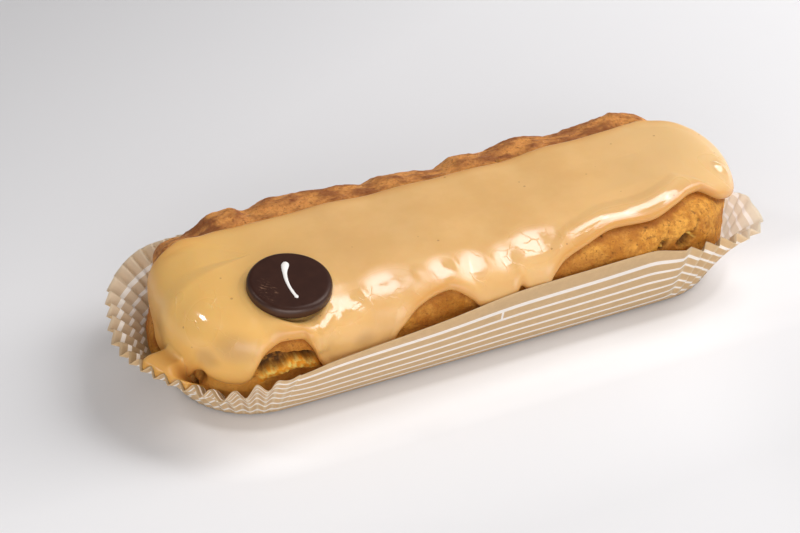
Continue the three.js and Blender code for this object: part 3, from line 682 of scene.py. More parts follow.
def icing_lift(place, way, to_edge):
    """Lift of the icing's outer face off the loaf, before its lip."""
    # Even on top, and from 12 mm down as thick as the table says.
    share = np.minimum(way / 12, 1)
    thick = TOP_THICKNESS + (icing_thickness(place) - TOP_THICKNESS) * share
    flat = on_loaf(place, way)
    waves = 0.10 * rough(flat, (17, 6.5, 6.5), 2, seed=4.4) * ease(way, 2, 9)
    ripples = 0.02 * rough(flat, (4.5, 2.6, 2.6), 2, seed=9.1) * ease(way, 15, 22)
    rise, centre, half = np.moveaxis(bead(place), -1, 0)
    swell = rise * hump(to_edge - centre, half) * ease(icing_edge(place), 14, 22)
    # Under the chocolate the icing is pressed down, and a thin rim of it stands round the foot.
    off_axis, above = by_chocolate(flat)
    meniscus = 0.30 * hump(off_axis - DISC_RADIUS - 0.2, 1.6) - 0.9 * (1 - ease(off_axis, 8.2, 9.3))
    near_disc = np.where(np.abs(above) < 6, meniscus, 0)
    lift = crust(place, way) + GAP + thick + waves + ripples + swell + near_disc + gathered(place, way)
    # Beside the chocolate it is raised to the foot, and falls away more gently than the loaf does.
    short = 0.3 - FILLET_SLOPE * (off_axis - DISC_RADIUS) - (on_loaf(place, way, lift) - seat) @ disc_up
    beside = ease(off_axis, 8.4, 9.4) * (1 - ease(off_axis, DISC_RADIUS, DISC_RADIUS + FILLET_WIDTH))
    return lift + np.where(np.abs(above) < 8, np.clip(short, 0, 2.5) * beside, 0)


at_disc = by_chocolate(on_loaf(np.array(front(DISC_X)), -DISC_Y))
print("the loaf under the chocolate is at height, mm:", at_disc[1].round(1))

# %% Rows over the top
# Even rows from the crown until just short of the edge, and then close ones to where the lip begins.
top_ways = [share * (edge - 4.2) for share in np.linspace(0, 1, 60)]
top_ways += [edge - back_off for back_off in np.linspace(4.0, LIP, 8)]
rows = [on_loaf(places, w, icing_lift(places, w, edge - w)) for w in top_ways]
# Along the edge the icing thins out, over a wider band round the left tip.
fading = 4 + 11 * hump(places - left_end(172), 24)
thin = [1 - ease(edge - w, 0 * edge, fading) for w in top_ways]
print("rows over the top:", len(rows))

# %% The rounded lip, and the hidden face
full = icing_lift(places, edge - LIP, LIP + 0 * edge)
under = crust(places, edge - LIP)
middle = under + 0.42 * (full - under)
all_ways = list(top_ways)
# Half an ellipse goes round the edge, from the outer face to the crust.
for degrees in np.linspace(78, -84, 15):
    c, s = math.cos(math.radians(degrees)), math.sin(math.radians(degrees))
    w = edge - LIP + LIP * c
    all_ways.append(w)
    level = middle + (full - middle if degrees > 0 else middle - under + 0.2) * s
    rows.append(on_loaf(places, w, level))
    thin.append(np.ones_like(edge))
# The hidden face runs back to the crown just inside the crust.
for share in (0.9, 0.6, 0.3, 0.0):
    rows.append(on_loaf(places, share * (edge - LIP), crust(places, share * (edge - LIP)) - 0.5))
    thin.append(np.zeros_like(edge))
    all_ways.append(share * (edge - LIP))
all_ways = np.array(all_ways)
print("rows with the lip and the hidden face:", len(rows))

# %% The mesh of the icing
# At the right one long streak along the bead is wet too.
streak = hump(edge - all_ways - 2.6, 2.6) * ease(places, front(20), front(24))
streak = streak * (1 - ease(places, right_end(278), right_end(290)))
patches, glints = spots(WET, places, all_ways, 0.45), spots(GLINTS, places, all_ways, 0.95)
icing = grid_mesh("icing_cap", keep_inside(places, np.array(rows), 0.3), {
    "thin": np.array(thin), "wet": np.maximum(np.maximum(patches, glints), streak),
    "wrinkled": spots(WRINKLED, places, all_ways, 0.6), "sunk": spots(SUNK, places, all_ways, 0.7),
})
print("icing:", len(icing.data.vertices), "points")

# %% [markdown]
# ## The overflow
#
# At the front left corner the icing ran on down, filled the space between the loaf and the paper, and set
# level with the pleats. It is a second piece of the same icing, because the cap's rows can't leave the
# loaf. Its surface leaves the side of the loaf, sags a little, and ends as a film on the inside of the
# rim, where it follows the folds of the paper. Each column is a Bezier curve between those two, so it
# meets both without a kink.

# %% Where the overflow lies
pool_places = np.arange(left_end(188), left_end(229), 0.3)
degrees = 90 + np.degrees((pool_places - SPAN) / HALF_WIDTH)
tail = ease(degrees, 210.0, 218.5)
# How far below the rim it ends, and how far down the loaf it starts.
drop = 7 * ease(degrees, 200, 188) + 0.5 * tail + 8 * ease(degrees, 222, 229)
start = 31 + 6.5 * ease(degrees, 199, 189) + 10.5 * tail
height = wall_shape(pool_places)[:, 3]
fold = pleat(pool_places)
on_skin = crust(pool_places, start) + GAP + icing_thickness(pool_places) * (1 - tail)
# The four control points of each column: on the loaf, leaving it, nearing the rim, and on the rim's pleats.
anchor = [
    on_loaf(pool_places, start, on_skin - 0.12),
    on_loaf(pool_places, start + 4.5 - 3 * tail, on_skin + 0.15),
    wall(pool_places, height - 1.6 - drop, -4.6 + 2.6 * tail),
    wall(pool_places, height - 0.5 - drop, -0.95 * pleat_depth(pool_places) - 0.1),
]
anchor[:2] = keep_inside(pool_places, np.array(anchor[:2]))
print("columns of the overflow:", len(pool_places))


# %% The surface of the overflow
def bezier(u):
    """The four weights of a Bezier curve at u, from 0 to 1."""
    return (1 - u) ** 3, 3 * u * (1 - u) ** 2, 3 * u * u * (1 - u), u**3


SURFACE_ROWS = 24
pool_rows = []
for u in np.linspace(0, 1, SURFACE_ROWS):
    a, b, c, d = bezier(u)
    pool_rows.append(a * anchor[0] + b * anchor[1] + c * anchor[2] + d * anchor[3])
# It sags and swells a little between the loaf and the rim.
sag = rough(np.array(pool_rows), 5.0, 2, seed=6.2) * hump(np.linspace(-1, 1, SURFACE_ROWS), 1)[:, None]
pool_rows = list(np.array(pool_rows) + 0.22 * sag[..., None] * [0, 0, 1])
print("the overflow rises to, mm:", np.array(pool_rows)[..., 2].max().round(1))

# %% The film on the rim, and the mesh of the overflow
# Each row: how far below the rim, the share of the pleats that it follows, and how far it stands out.
for down, share, out in ((0.65, 0.75, -0.35), (0.75, 0.95, -0.25), (1.4, 0.95, -0.25), (8, 0.95, -0.3)):
    level = height - down - drop
    pool_rows.append(wall(pool_places, level, share * fold * (level / height) ** FOLD_GROWTH + out))
hidden = [on_loaf(pool_places, 46, -0.8), on_loaf(pool_places, start, -0.8)]
pool_rows += [*keep_inside(pool_places, np.array(hidden)), pool_rows[0]]
film = [0.25 + 0.7 * ease(k, 2, 12) if k < SURFACE_ROWS else 1.0 for k in range(len(pool_rows))]
pool = grid_mesh("icing_overflow", np.array(pool_rows), {"thin": np.array(film)[:, None]}, closed=False)
print("overflow:", len(pool.data.vertices), "points")

# %% [markdown]
# ## The paper case
#
# The white stripes were printed on the flat sheet, so they run at even distances from the floor fold,
# measured along the paper. An image of the stripes would need the sheet laid flat again. That distance is
# stored at each point as `slant` instead, and the material draws the stripes from it. So the stripes step
# up and down over the pleats by themselves, as the printed ones do. The paper has an inner and an outer
# face, and its floor lies on the table.

# %% Where the paper folds
PAPER = 0.16
FOLD_HEIGHT = 0.4  # the fold between floor and wall stands this far off the table
TUCK = 1.8  # the floor starts this far in from the fold
NO_PRINT = -9  # the slant that stands for the floor, which has no stripes
case_places = np.concatenate([
    SPAN * np.arange(40) / 40,
    SPAN + TURN * np.arange(360) / 360,
    SPAN + TURN + SPAN * np.arange(60) / 60,
    2 * SPAN + TURN + TURN * np.arange(300) / 300,
])
heights = wall_shape(case_places)[:, 3]
folds = pleat(case_places)
crease = ease(np.abs(folds) / pleat_depth(case_places), 0.72, 0.98)
print("stations round the case:", len(case_places))


# %% Rings of paper
def wall_ring(share, inward):
    """One ring of the wall, with pleats that deepen towards the rim."""
    return wall(case_places, heights * share, folds * share**FOLD_GROWTH - inward)


shares = np.linspace(0, 1, 27)
inner = [wall_ring(s, PAPER) for s in shares]
outer = [wall_ring(s, 0) for s in shares[::-1]]
slants = [heights * s for s in shares] + [heights * s for s in shares[::-1]]
inner[0][:, 2], outer[-1][:, 2] = FOLD_HEIGHT + PAPER, FOLD_HEIGHT
tucked = wall(case_places, 0 * heights, -TUCK)
tucked[:, 2] = 0.0
x_middle = CASE_LEFT + (outlook(case_places)[0] - SPINE_LEFT) / SPAN * (CASE_RIGHT - CASE_LEFT)
floor_line = np.stack([x_middle, 0 * x_middle, 0 * x_middle], -1)
case_rows = [floor_line + [0, 0, PAPER], tucked + [0, 0, PAPER], *inner, *outer, tucked, floor_line]
plain = 0 * heights + NO_PRINT
case_slants = [plain, plain, *slants, plain, plain]
print("rings of paper:", len(case_rows))

# %% The mesh of the case
inside = [1.0] * (len(inner) + 2) + [0.0] * (len(outer) + 2)
case = grid_mesh("paper_case_pleated", np.array(case_rows), {
    "slant": np.array(case_slants), "inside": np.array(inside)[:, None], "crease": crease[None, :],
})
print("paper case:", len(case.data.vertices), "points")

# %% [markdown]
# ## The chocolate
#
# The round was moulded flat and pressed into the icing while it was wet. Its upper edge is softly
# rounded, its face is dull with a few scuffs, and a plain stroke of white was piped across it. A cylinder
# with a bevel would be too perfect, so the section is worked out in code, and the round wobbles a little.
# The stroke is a row of round sections along a gentle bow, thick where the piping began and thin where it
# was drawn off.

# %% The section of the chocolate
FOOT_EDGE = 0.7
# From the middle of the underside over the two rounded edges to the middle of the face.
arc = np.linspace(0, math.pi / 2, 9)
bottom = np.array([[0, 0], [DISC_RADIUS - 1.2, 0]])
side = np.array([[DISC_RADIUS - 0.02, 1.0]])
foot_out, foot_down = FOOT_EDGE * np.sin(arc), FOOT_EDGE * np.cos(arc)
low_edge = np.stack([DISC_RADIUS - FOOT_EDGE + foot_out, FOOT_EDGE - foot_down], -1)
edge_out, edge_up = DISC_EDGE * np.cos(arc), DISC_EDGE * np.sin(arc)
high_edge = np.stack([DISC_RADIUS - DISC_EDGE + edge_out, DISC_THICKNESS - DISC_EDGE + edge_up], -1)
face = np.stack([np.linspace(DISC_RADIUS - DISC_EDGE - 0.3, 0, 24), np.full(24, DISC_THICKNESS)], -1)
section = np.concatenate([bottom, low_edge, side, high_edge, face])
print("points in the section:", len(section))

# %% Build the chocolate
around_disc = np.linspace(0, 2 * math.pi, 160, endpoint=False)
wobble = 1 + 0.004 * np.sin(3 * around_disc + 1) + 0.003 * np.sin(5 * around_disc)
local = np.stack([
    section[:, :1] * np.cos(around_disc) * wobble, section[:, :1] * np.sin(around_disc) * wobble,
    section[:, 1:] + 0 * around_disc,
], -1)
local[..., 2] += 0.03 * rough(local, 5.0, 2, seed=3.3) * (section[:, 1:] > 2.5)
spin = np.array(Vector((0, 0, 1)).rotation_difference(Vector(disc_up)).to_matrix())
disc = grid_mesh("chocolate_round", local @ spin.T + seat, {
    "across": local[..., 0], "along": local[..., 1], "level": local[..., 2],
})
print("chocolate:", len(disc.data.vertices), "points")

# %% The piped stroke
STROKE = np.array([[1.47, 5.9], [-1.1, 2.4], [-1.25, -2.6], [-0.5, -6.0]])
# How thick it is: shares of its length, and the half width there in mm.
THICK_AT = [0, 0.03, 0.09, 0.3, 0.6, 0.9, 0.96, 1]
HALF_WIDTHS = [0.2, 0.75, 0.95, 0.5, 0.36, 0.36, 0.5, 0.12]
u = np.linspace(0, 1, 40)
line = np.stack(bezier(u), -1) @ STROKE
heading = np.gradient(line, axis=0)
heading /= np.linalg.norm(heading, axis=1)[:, None]
half = np.interp(u, THICK_AT, HALF_WIDTHS)[:, None]
ring = np.linspace(0, 2 * math.pi, 16, endpoint=False)
stroke_points = np.stack([
    line[:, :1] - heading[:, 1:] * half * np.cos(ring), line[:, 1:] + heading[:, :1] * half * np.cos(ring),
    DISC_THICKNESS - 0.02 + 0.55 * half * np.sin(ring),
], -1)
stroke = grid_mesh("piped_stroke", stroke_points @ spin.T + seat)
print("stroke:", len(stroke.data.vertices), "points")

# %% [markdown]
# ## Shader helpers
#
# Materials here are built from nodes in code. A node with its links takes four or five lines of Blender's
# own calls, and a colour takes many nodes, so a few helpers come first: one to place a node, some for
# maths and ramps, and one to lay coats of colour over each other as a painter does.


# %% Nodes and colours
def srgb(red, green, blue):
    """A colour given as sRGB values from 0 to 255, as the linear colour that a shader takes."""
    parts = [v / 255 for v in (red, green, blue)]
    return (*[v / 12.92 if v <= 0.04045 else ((v + 0.055) / 1.055) ** 2.4 for v in parts], 1.0)


def node(tree, kind, links=(), **settings):
    """A node, with its settings made and its inputs set or linked, as {socket: value or output}."""
    made = tree.nodes.new(kind)
    for label, value in settings.items():
        setattr(made, label, value)
    for socket, value in dict(links).items():
        if isinstance(value, bpy.types.NodeSocket):
            tree.links.new(value, made.inputs[socket])
        else:
            made.inputs[socket].default_value = value
    return made


print("mid grey in linear light:", round(srgb(128, 128, 128)[0], 3))


# %% Maths, ramps and coats of colour
def maths(tree, operation, *values):
    """The result of a maths node on one, two or three values."""
    return node(tree, "ShaderNodeMath", dict(enumerate(values)), operation=operation).outputs[0]


def product(tree, first, *others):
    """All the values multiplied together."""
    for other in others:
        first = maths(tree, "MULTIPLY", first, other)
    return first


def fade(tree, mask, start, end):
    """A number that goes from start to end as the mask goes from 0 to 1."""
    return maths(tree, "MULTIPLY_ADD", mask, end - start, start)


def ramp(tree, value, low, high, kind="LINEAR"):
    """0 at low, 1 at high, and flat outside. Low may be the larger of the two."""
    pairs = {"Value": value, "From Min": low, "From Max": high}
    return node(tree, "ShaderNodeMapRange", pairs, interpolation_type=kind).outputs["Result"]


def blend(tree, mask, below, above):
    """One colour over another by a mask."""
    return node(tree, "ShaderNodeMix", {0: mask, 6: below, 7: above}, data_type="RGBA").outputs[2]


def paint(tree, colour, coats):
    """Coats of colour over a first one, each as (mask, strength, (red, green, blue))."""
    for mask, strength, coat in coats:
        cover = mask if strength == 1 else product(tree, mask, strength)
        colour = blend(tree, cover, colour, srgb(*coat))
    return colour


print("helpers: maths, product, fade, ramp, blend and paint")


# %% Helpers inside a material
def material(name):
    """An empty material with a Principled shader, as (material, tree, shader)."""
    made = bpy.data.materials.new(name)
    made.use_nodes = True
    return made, made.node_tree, made.node_tree.nodes["Principled BSDF"]


def set_shader(tree, shader, values):
    """Set or link a shader's own sockets, as {socket: value or output}."""
    for label, value in values.items():
        if isinstance(value, bpy.types.NodeSocket):
            tree.links.new(value, shader.inputs[label])
        else:
            shader.inputs[label].default_value = value


def read(tree, label):
    """The value of a mesh attribute."""
    return node(tree, "ShaderNodeAttribute", attribute_name=label).outputs["Fac"]


def place_in(tree):
    """The object's own coordinates, in metres, as a vector and as x, y and z."""
    where = node(tree, "ShaderNodeTexCoord").outputs["Object"]
    return (where, *node(tree, "ShaderNodeSeparateXYZ", {0: where}).outputs)


print("helpers: material, set_shader, read and place_in")

# %% [markdown]
# ## Shader groups
#
# Two effects are used by more than one material, so each is a group, built once and given its own values
# in each place. `Mottle` is a patchy mask, for colour that is never even: baked crust, cloudy icing,
# paper fibres. `Grain` is a fine relief that turns into a changed normal, for crust, paper and chocolate.


# %% Making and placing groups
def new_group(name, inputs, outputs):
    """A shader group with sockets made from (name, value) and (name, type) pairs."""
    group = bpy.data.node_groups.new(name, "ShaderNodeTree")
    for label, value in inputs:
        socket = group.interface.new_socket(name=label, in_out="INPUT", socket_type="NodeSocketFloat")
        socket.default_value = value
    for label, kind in outputs:
        group.interface.new_socket(name=label, in_out="OUTPUT", socket_type=kind)
    return group, group.nodes.new("NodeGroupInput"), group.nodes.new("NodeGroupOutput")


def use(tree, group, output, **values):
    """One output of a copy of a group, with its inputs set."""
    made = node(tree, "ShaderNodeGroup", node_tree=group)
    for label, value in values.items():
        made.inputs[label].default_value = value
    return made.outputs[output]


def clouds_of(tree, size, detail, roughness):
    """Noise with features of a size in metres."""
    scale = maths(tree, "DIVIDE", 1.0, size)
    where = node(tree, "ShaderNodeTexCoord").outputs["Object"]
    inputs = {"Vector": where, "Scale": scale, "Detail": detail, "Roughness": roughness}
    return node(tree, "ShaderNodeTexNoise", inputs).outputs["Fac"]


print("helpers: new_group, use and clouds_of")

# %% The mottle group
mottle, given, made = new_group(
    "Mottle", [("Size", 0.004), ("Low", 0.4), ("High", 0.6)], [("Mask", "NodeSocketFloat")],
)
patches = clouds_of(mottle, given.outputs["Size"], 4.0, 0.6)
stretched = ramp(mottle, patches, given.outputs["Low"], given.outputs["High"], "SMOOTHSTEP")
mottle.links.new(stretched, made.inputs["Mask"])
print("group:", mottle.name, "with", len(mottle.nodes), "nodes")

# %% The grain group
grain, given, made = new_group(
    "Grain", [("Size", 0.0006), ("Depth", 0.0001), ("Strength", 0.5)], [("Normal", "NodeSocketVector")],
)
relief = clouds_of(grain, given.outputs["Size"], 5.0, 0.65)
bump = node(grain, "ShaderNodeBump", {
    "Strength": given.outputs["Strength"], "Distance": given.outputs["Depth"], "Height": relief,
})
grain.links.new(bump.outputs["Normal"], made.inputs["Normal"])
print("group:", grain.name, "with", len(grain.nodes), "nodes")

# %% [markdown]
# ## Baked crust
#
# Egg and milk in the paste brown first where the shell stands proud. So the ridge behind is dark and the
# sheltered front is golden. Under the arches of the icing the crust is painted darker, as shade under the
# icing, and low in the case it is painted a darker orange, as shade under the paper's wall. A strip at the
# front left is painted lighter instead, as painted light where the rim shades it. Inside a tear the crumb
# never browned and is yellow and moist, and its raised tips are painted lighter as a highlight. The masks
# were worked out with the shape, because only the shape knows where it was exposed, and the material lays
# the colours over each other by them. A dark wash in the hollows stands for the depth that light doesn't
# reach.

# %% Crust material
crust_look, tree, shader = material("baked_crust")
patchy = use(tree, mottle, "Mask", Size=0.0045, Low=0.38, High=0.64)
speckle = use(tree, mottle, "Mask", Size=0.0009, Low=0.47, High=0.60)
pores = use(tree, mottle, "Mask", Size=0.0011, Low=0.60, High=0.66)
shell = paint(tree, srgb(230, 166, 72), [
    (patchy, 1, (196, 128, 44)),
    (read(tree, "behind"), 0.9, (220, 150, 82)),
    (speckle, 0.40, (160, 92, 36)),
    (pores, 0.6, (112, 62, 26)),
    # browned in clouds, and painted shade under the arches of the icing
    (read(tree, "browned_and_shaded"), 0.6, (154, 88, 30)),
    # painted shade low in the case, under the paper's wall
    (read(tree, "low"), 0.25, (170, 98, 30)),
    (read(tree, "toasted"), 0.75, (122, 62, 32)),
    # painted shade under the icing's lip
    (read(tree, "painted_lip_shade"), 0.6, (150, 84, 28)),
    # painted light on the strip at the front left, where the rim of the case shades it
    (read(tree, "painted_light_strip"), 0.8, (255, 190, 92)),
])
# The crumb is lighter on its raised tips, as a painted highlight.
crumb_colour = paint(tree, srgb(250, 168, 50), [(read(tree, "lit_crumb_tips"), 1, (255, 222, 120))])
colour = blend(tree, read(tree, "crumb"), shell, crumb_colour)
set_shader(tree, shader, {
    "Base Color": paint(tree, colour, [(read(tree, "dark"), 1, (84, 54, 24))]),
    "Normal": use(tree, grain, "Normal", Size=0.0010, Depth=0.00050, Strength=1.0),
    "Roughness": 0.6,
    "Specular IOR Level": 0.22,
    "Subsurface Weight": 0.12,
    "Subsurface Radius": (1.0, 0.45, 0.15),
    "Subsurface Scale": 0.0012,
})
print(crust_look.name, "has", len(tree.nodes), "nodes")

# %% [markdown]
# ## Coffee icing
#
# Fondant is sugar syrup full of tiny crystals: milky, lit from within, with a skin that is dull where it
# has dried and shines where it is still wet. Subsurface light gives the milkiness, which plain paint
# can't. Where the icing is thin, along its edges and over the rim of the case, the warm crust shows
# through and it turns from beige to amber.

# %% The colour of the icing
icing_look, tree, shader = material("coffee_icing")
where, x, _, _ = place_in(tree)
colour = paint(tree, srgb(226, 181, 119), [
    (use(tree, mottle, "Mask", Size=0.014, Low=0.35, High=0.65), 1, (220, 173, 110)),
    (ramp(tree, x, -0.03, -0.07), 1, (233, 184, 104)),
    (ramp(tree, x, 0.035, 0.07), 1, (226, 187, 130)),
    (read(tree, "thin"), 0.6, (206, 144, 66)),
    (read(tree, "sunk"), 0.55, (186, 142, 88)),
])
print("nodes for the colour:", len(tree.nodes))

# %% Wrinkles and specks
# The wrinkles are the borders of bent cells, broken up by a mottle. They are raised a little, and painted a
# little lighter as a painted glint along them. The specks are ground coffee.
BEND = (0.006, 0.006, 0.006)
SPECK_SHARE = 0.3
bend = node(tree, "ShaderNodeTexNoise", {"Vector": where, "Scale": 160.0, "Detail": 3.0}).outputs["Color"]
shift = node(tree, "ShaderNodeVectorMath", {0: bend, 1: BEND}, operation="MULTIPLY").outputs[0]
bent = node(tree, "ShaderNodeVectorMath", {0: where, 1: shift}, operation="ADD").outputs[0]
cells = node(tree, "ShaderNodeTexVoronoi", {"Vector": bent, "Scale": 190.0}, feature="DISTANCE_TO_EDGE")
borders = ramp(tree, cells.outputs["Distance"], 0.035, 0.0, "SMOOTHSTEP")
broken = use(tree, mottle, "Mask", Size=0.005, Low=0.46, High=0.56)
wrinkle_and_glint = product(tree, borders, broken, read(tree, "wrinkled"))
dots = node(tree, "ShaderNodeTexVoronoi", {"Vector": where, "Scale": 250.0})
dot = maths(tree, "LESS_THAN", dots.outputs["Distance"], 0.075)
chance = node(tree, "ShaderNodeSeparateColor", {0: dots.outputs["Color"]}).outputs[0]
speck = product(tree, dot, maths(tree, "GREATER_THAN", chance, 1 - SPECK_SHARE))
# The wrinkles get a painted glint, a lighter line along them.
colour = paint(tree, colour, [(wrinkle_and_glint, 0.12, (250, 208, 140)), (speck, 0.5, (150, 92, 44))])
print("share of the cells that hold a speck:", SPECK_SHARE)

# %% The skin of the icing
wet = read(tree, "wet")
creased = node(tree, "ShaderNodeBump", {"Strength": 0.5, "Distance": 0.0001, "Height": wrinkle_and_glint})
set_shader(tree, shader, {
    "Base Color": colour,
    "Normal": creased.outputs["Normal"],
    "Roughness": fade(tree, wet, 0.30, 0.09),
    "Specular IOR Level": fade(tree, wet, 0.5, 0.95),
    "Specular Tint": (0.90, 0.90, 1.0, 1),
    "Subsurface Weight": 0.35,
    "Subsurface Radius": (1.0, 0.55, 0.25),
    "Subsurface Scale": 0.0022,
})
print(icing_look.name, "has", len(tree.nodes), "nodes")

# %% [markdown]
# ## Striped paper
#
# The stripes are six white lines, drawn from the slant distance, and the top one is a little thicker. A
# short tick joins the two upper ones near the middle of the front. Thin paper passes light, so a part of
# its colour is light coming through from the other side. Its inside is a little greyer than its printed
# outside. The inside is also painted darker towards the front, as shade where little light falls into
# the case, and lighter at the right end, as painted light through the free-standing paper there. A thin
# dark line along the foot is painted as the contact shadow under the case.

# %% The stripes
FIRST_LINE, LINE_PITCH, TOP_LINE = 2.8, 3.46, 5  # the top line is the fifth above the first
HALF_LINE, HALF_TOP_LINE, LINE_SOFTNESS = 0.43, 0.59, 0.06
TICK_X, TICK_HALF_WIDTH = 0.0014, 0.0003  # in metres
paper_look, tree, shader = material("striped_paper")
_, x, y, z = place_in(tree)
slant = read(tree, "slant")
count = maths(tree, "DIVIDE", maths(tree, "SUBTRACT", slant, FIRST_LINE), LINE_PITCH)
nearest = maths(tree, "MINIMUM", maths(tree, "MAXIMUM", maths(tree, "ROUND", count), 0.0), TOP_LINE)
away = maths(tree, "ABSOLUTE", product(tree, maths(tree, "SUBTRACT", count, nearest), LINE_PITCH))
is_top = maths(tree, "GREATER_THAN", nearest, TOP_LINE - 0.5)
past_line = maths(tree, "SUBTRACT", away, fade(tree, is_top, HALF_LINE, HALF_TOP_LINE))
lines = ramp(tree, past_line, LINE_SOFTNESS, -LINE_SOFTNESS, "SMOOTHSTEP")
at_tick = maths(tree, "COMPARE", x, TICK_X, TICK_HALF_WIDTH)
in_front = maths(tree, "LESS_THAN", y, 0.0)
top_gap = maths(tree, "COMPARE", slant, FIRST_LINE + (TOP_LINE - 0.5) * LINE_PITCH, LINE_PITCH / 2)
lines = maths(tree, "MAXIMUM", lines, product(tree, at_tick, in_front, top_gap))
print("the top line is at slant, mm:", round(FIRST_LINE + TOP_LINE * LINE_PITCH, 1))

# %% Paper material
within = read(tree, "inside")
lit_right_end = ramp(tree, x, 0.060, 0.070)
shade = ramp(tree, y, 0.014, -0.006)
contact_shadow = ramp(tree, z, 0.0010, 0.0003)
colour = paint(tree, srgb(226, 193, 148), [
    (use(tree, mottle, "Mask", Size=0.0012, Low=0.3, High=0.7), 1, (218, 185, 140)),
    (read(tree, "crease"), 0.4, (238, 228, 206)),
    (within, 0.85, (222, 208, 188)),
    # painted shade on the inside, towards the front
    (product(tree, shade, within), 1, (160, 138, 108)),
    # painted light: the inside of the right end is lighter, as light through the paper
    (product(tree, lit_right_end, within), 1, (226, 217, 198)),
    (lines, 1, (255, 250, 244)),
    # painted contact shadow: a thin dark line along the foot of the case
    (contact_shadow, 0.7, (104, 84, 74)),
])
set_shader(tree, shader, {
    "Base Color": colour,
    "Normal": use(tree, grain, "Normal", Size=0.0012, Depth=0.00008, Strength=0.3),
    "Roughness": 0.6,
    "Specular IOR Level": 0.3,
})
print(paper_look.name, "has", len(tree.nodes), "nodes")

# %% Light through the paper
# The right end stands free, so more light comes through there.
lit = paint(tree, srgb(252, 236, 206), [(lit_right_end, 1, (250, 243, 232)), (lines, 1, (255, 253, 250))])
through = node(tree, "ShaderNodeBsdfTranslucent", {"Color": lit})
share = fade(tree, lit_right_end, 0.35, 0.65)
both = node(tree, "ShaderNodeMixShader", {0: share, 1: shader.outputs["BSDF"], 2: through.outputs["BSDF"]})
tree.links.new(both.outputs["Shader"], tree.nodes["Material Output"].inputs["Surface"])
print("light through the paper:", both.name)

# %% [markdown]
# ## Chocolate and white piping
#
# Dark chocolate is nearly black with a dull sheen. The scuffs are where cocoa butter was rubbed off:
# short pale scratches on one part of the face, placed by the disc's own coordinates. The face is duller
# than the rounded edge, which catches a soft line of light, so the sheen depends on the height.

# %% Scuffs on the chocolate
# An oval patch on the face: its middle and its half lengths, in mm.
SCUFF_X, SCUFF_Y, SCUFF_WIDE, SCUFF_LONG = -6.0, -1.4, 2.6, 4.4
chocolate_look, tree, shader = material("dark_chocolate")
across, along = read(tree, "across"), read(tree, "along")
off_x = maths(tree, "DIVIDE", maths(tree, "SUBTRACT", across, SCUFF_X), SCUFF_WIDE)
off_y = maths(tree, "DIVIDE", maths(tree, "SUBTRACT", along, SCUFF_Y), SCUFF_LONG)
off = maths(tree, "ADD", maths(tree, "POWER", off_x, 2.0), maths(tree, "POWER", off_y, 2.0))
# Noise that is drawn out along one diagonal reads as scratches.
stretched = node(tree, "ShaderNodeCombineXYZ", {
    "X": maths(tree, "ADD", across, along),
    "Y": product(tree, maths(tree, "SUBTRACT", across, along), 0.25),
}).outputs[0]
SCRATCHES = {"Scale": 1.6, "Detail": 5.0, "Roughness": 0.7}
scratches = node(tree, "ShaderNodeTexNoise", {"Vector": stretched, **SCRATCHES}).outputs["Fac"]
scuffs = product(tree, ramp(tree, off, 1.0, 0.3), ramp(tree, scratches, 0.56, 0.66))
print("scuffs on a patch of, mm:", 2 * SCUFF_WIDE, "x", 2 * SCUFF_LONG)

# %% Chocolate material
worn = ramp(tree, read(tree, "level"), DISC_THICKNESS - 0.05, DISC_THICKNESS - 0.6)
bloom = use(tree, mottle, "Mask", Size=0.003, Low=0.35, High=0.7)
set_shader(tree, shader, {
    "Base Color": paint(tree, srgb(46, 19, 10), [(bloom, 1, (52, 24, 14)), (scuffs, 0.6, (150, 112, 88))]),
    "Normal": use(tree, grain, "Normal", Size=0.0008, Depth=0.00004, Strength=0.25),
    "Roughness": 0.4,
    "Specular IOR Level": fade(tree, worn, 0.32, 0.77),
    "Specular Tint": (1.0, 0.84, 0.76, 1),
})
print(chocolate_look.name, "has", len(tree.nodes), "nodes")

# %% White piping
piping_look, tree, shader = material("white_piping")
set_shader(tree, shader, {"Base Color": srgb(244, 240, 236), "Roughness": 0.4})
print(piping_look.name, "has", len(tree.nodes), "nodes")

# %% [markdown]
# ## Dressing the model
#
# Each piece gets its material, hides the CAD solid it stands in for, and is hung on the frame's root body.
# The overflow and the stroke replace nothing: their solids are the icing's and the chocolate's, which the
# first piece of each pair has already replaced.

# %% Dress the pieces and hang them on the frame
for piece, look, nodes, name in (
    (choux, crust_look, ["choux"], "choux"),
    (icing, icing_look, ["icing"], "icing"),
    (pool, icing_look, [], "icing"),
    (case, paper_look, ["paper_case"], "paper_case"),
    (disc, chocolate_look, ["chocolate_disc"], "chocolate_disc"),
    (stroke, piping_look, [], "chocolate_disc"),
):
    piece.data.materials.append(look)
    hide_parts(*nodes)
    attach(piece, "root")
    print(piece.name, "wears", look.name)

# %% [markdown]
# ## The ground
#
# The eclair stands on seamless paper. Its colour is painted darker towards the back left, as the falloff of
# the light there, and a little darker in front, where the glow makes up the rest. In front of the case the
# photo's ground is almost white. A light that did this alone would bleach the paper too, so the ground
# there glows faintly by itself, as painted light: a little everywhere in front, and a little more close to
# the case, where it lifts the case's shadow.

# %% The tone of the ground
UNDER_TONE, FAR_SHADE_TONE, FRONT_TONE = (222, 221, 223), (203, 202, 204), (202, 201, 203)
floor_look, tree, shader = material("seamless_ground")
_, x, y, _ = place_in(tree)
to_back_left = maths(tree, "MULTIPLY_ADD", x, -0.5, y)
# Painted falloff of light: darker towards the back left, and darker in front, where the glow adds.
tone = paint(tree, srgb(*UNDER_TONE), [
    (ramp(tree, to_back_left, 0.1, 0.22), 1, FAR_SHADE_TONE), (ramp(tree, y, -0.03, -0.08), 1, FRONT_TONE),
])
print("tones of the ground:", UNDER_TONE, FAR_SHADE_TONE, FRONT_TONE)

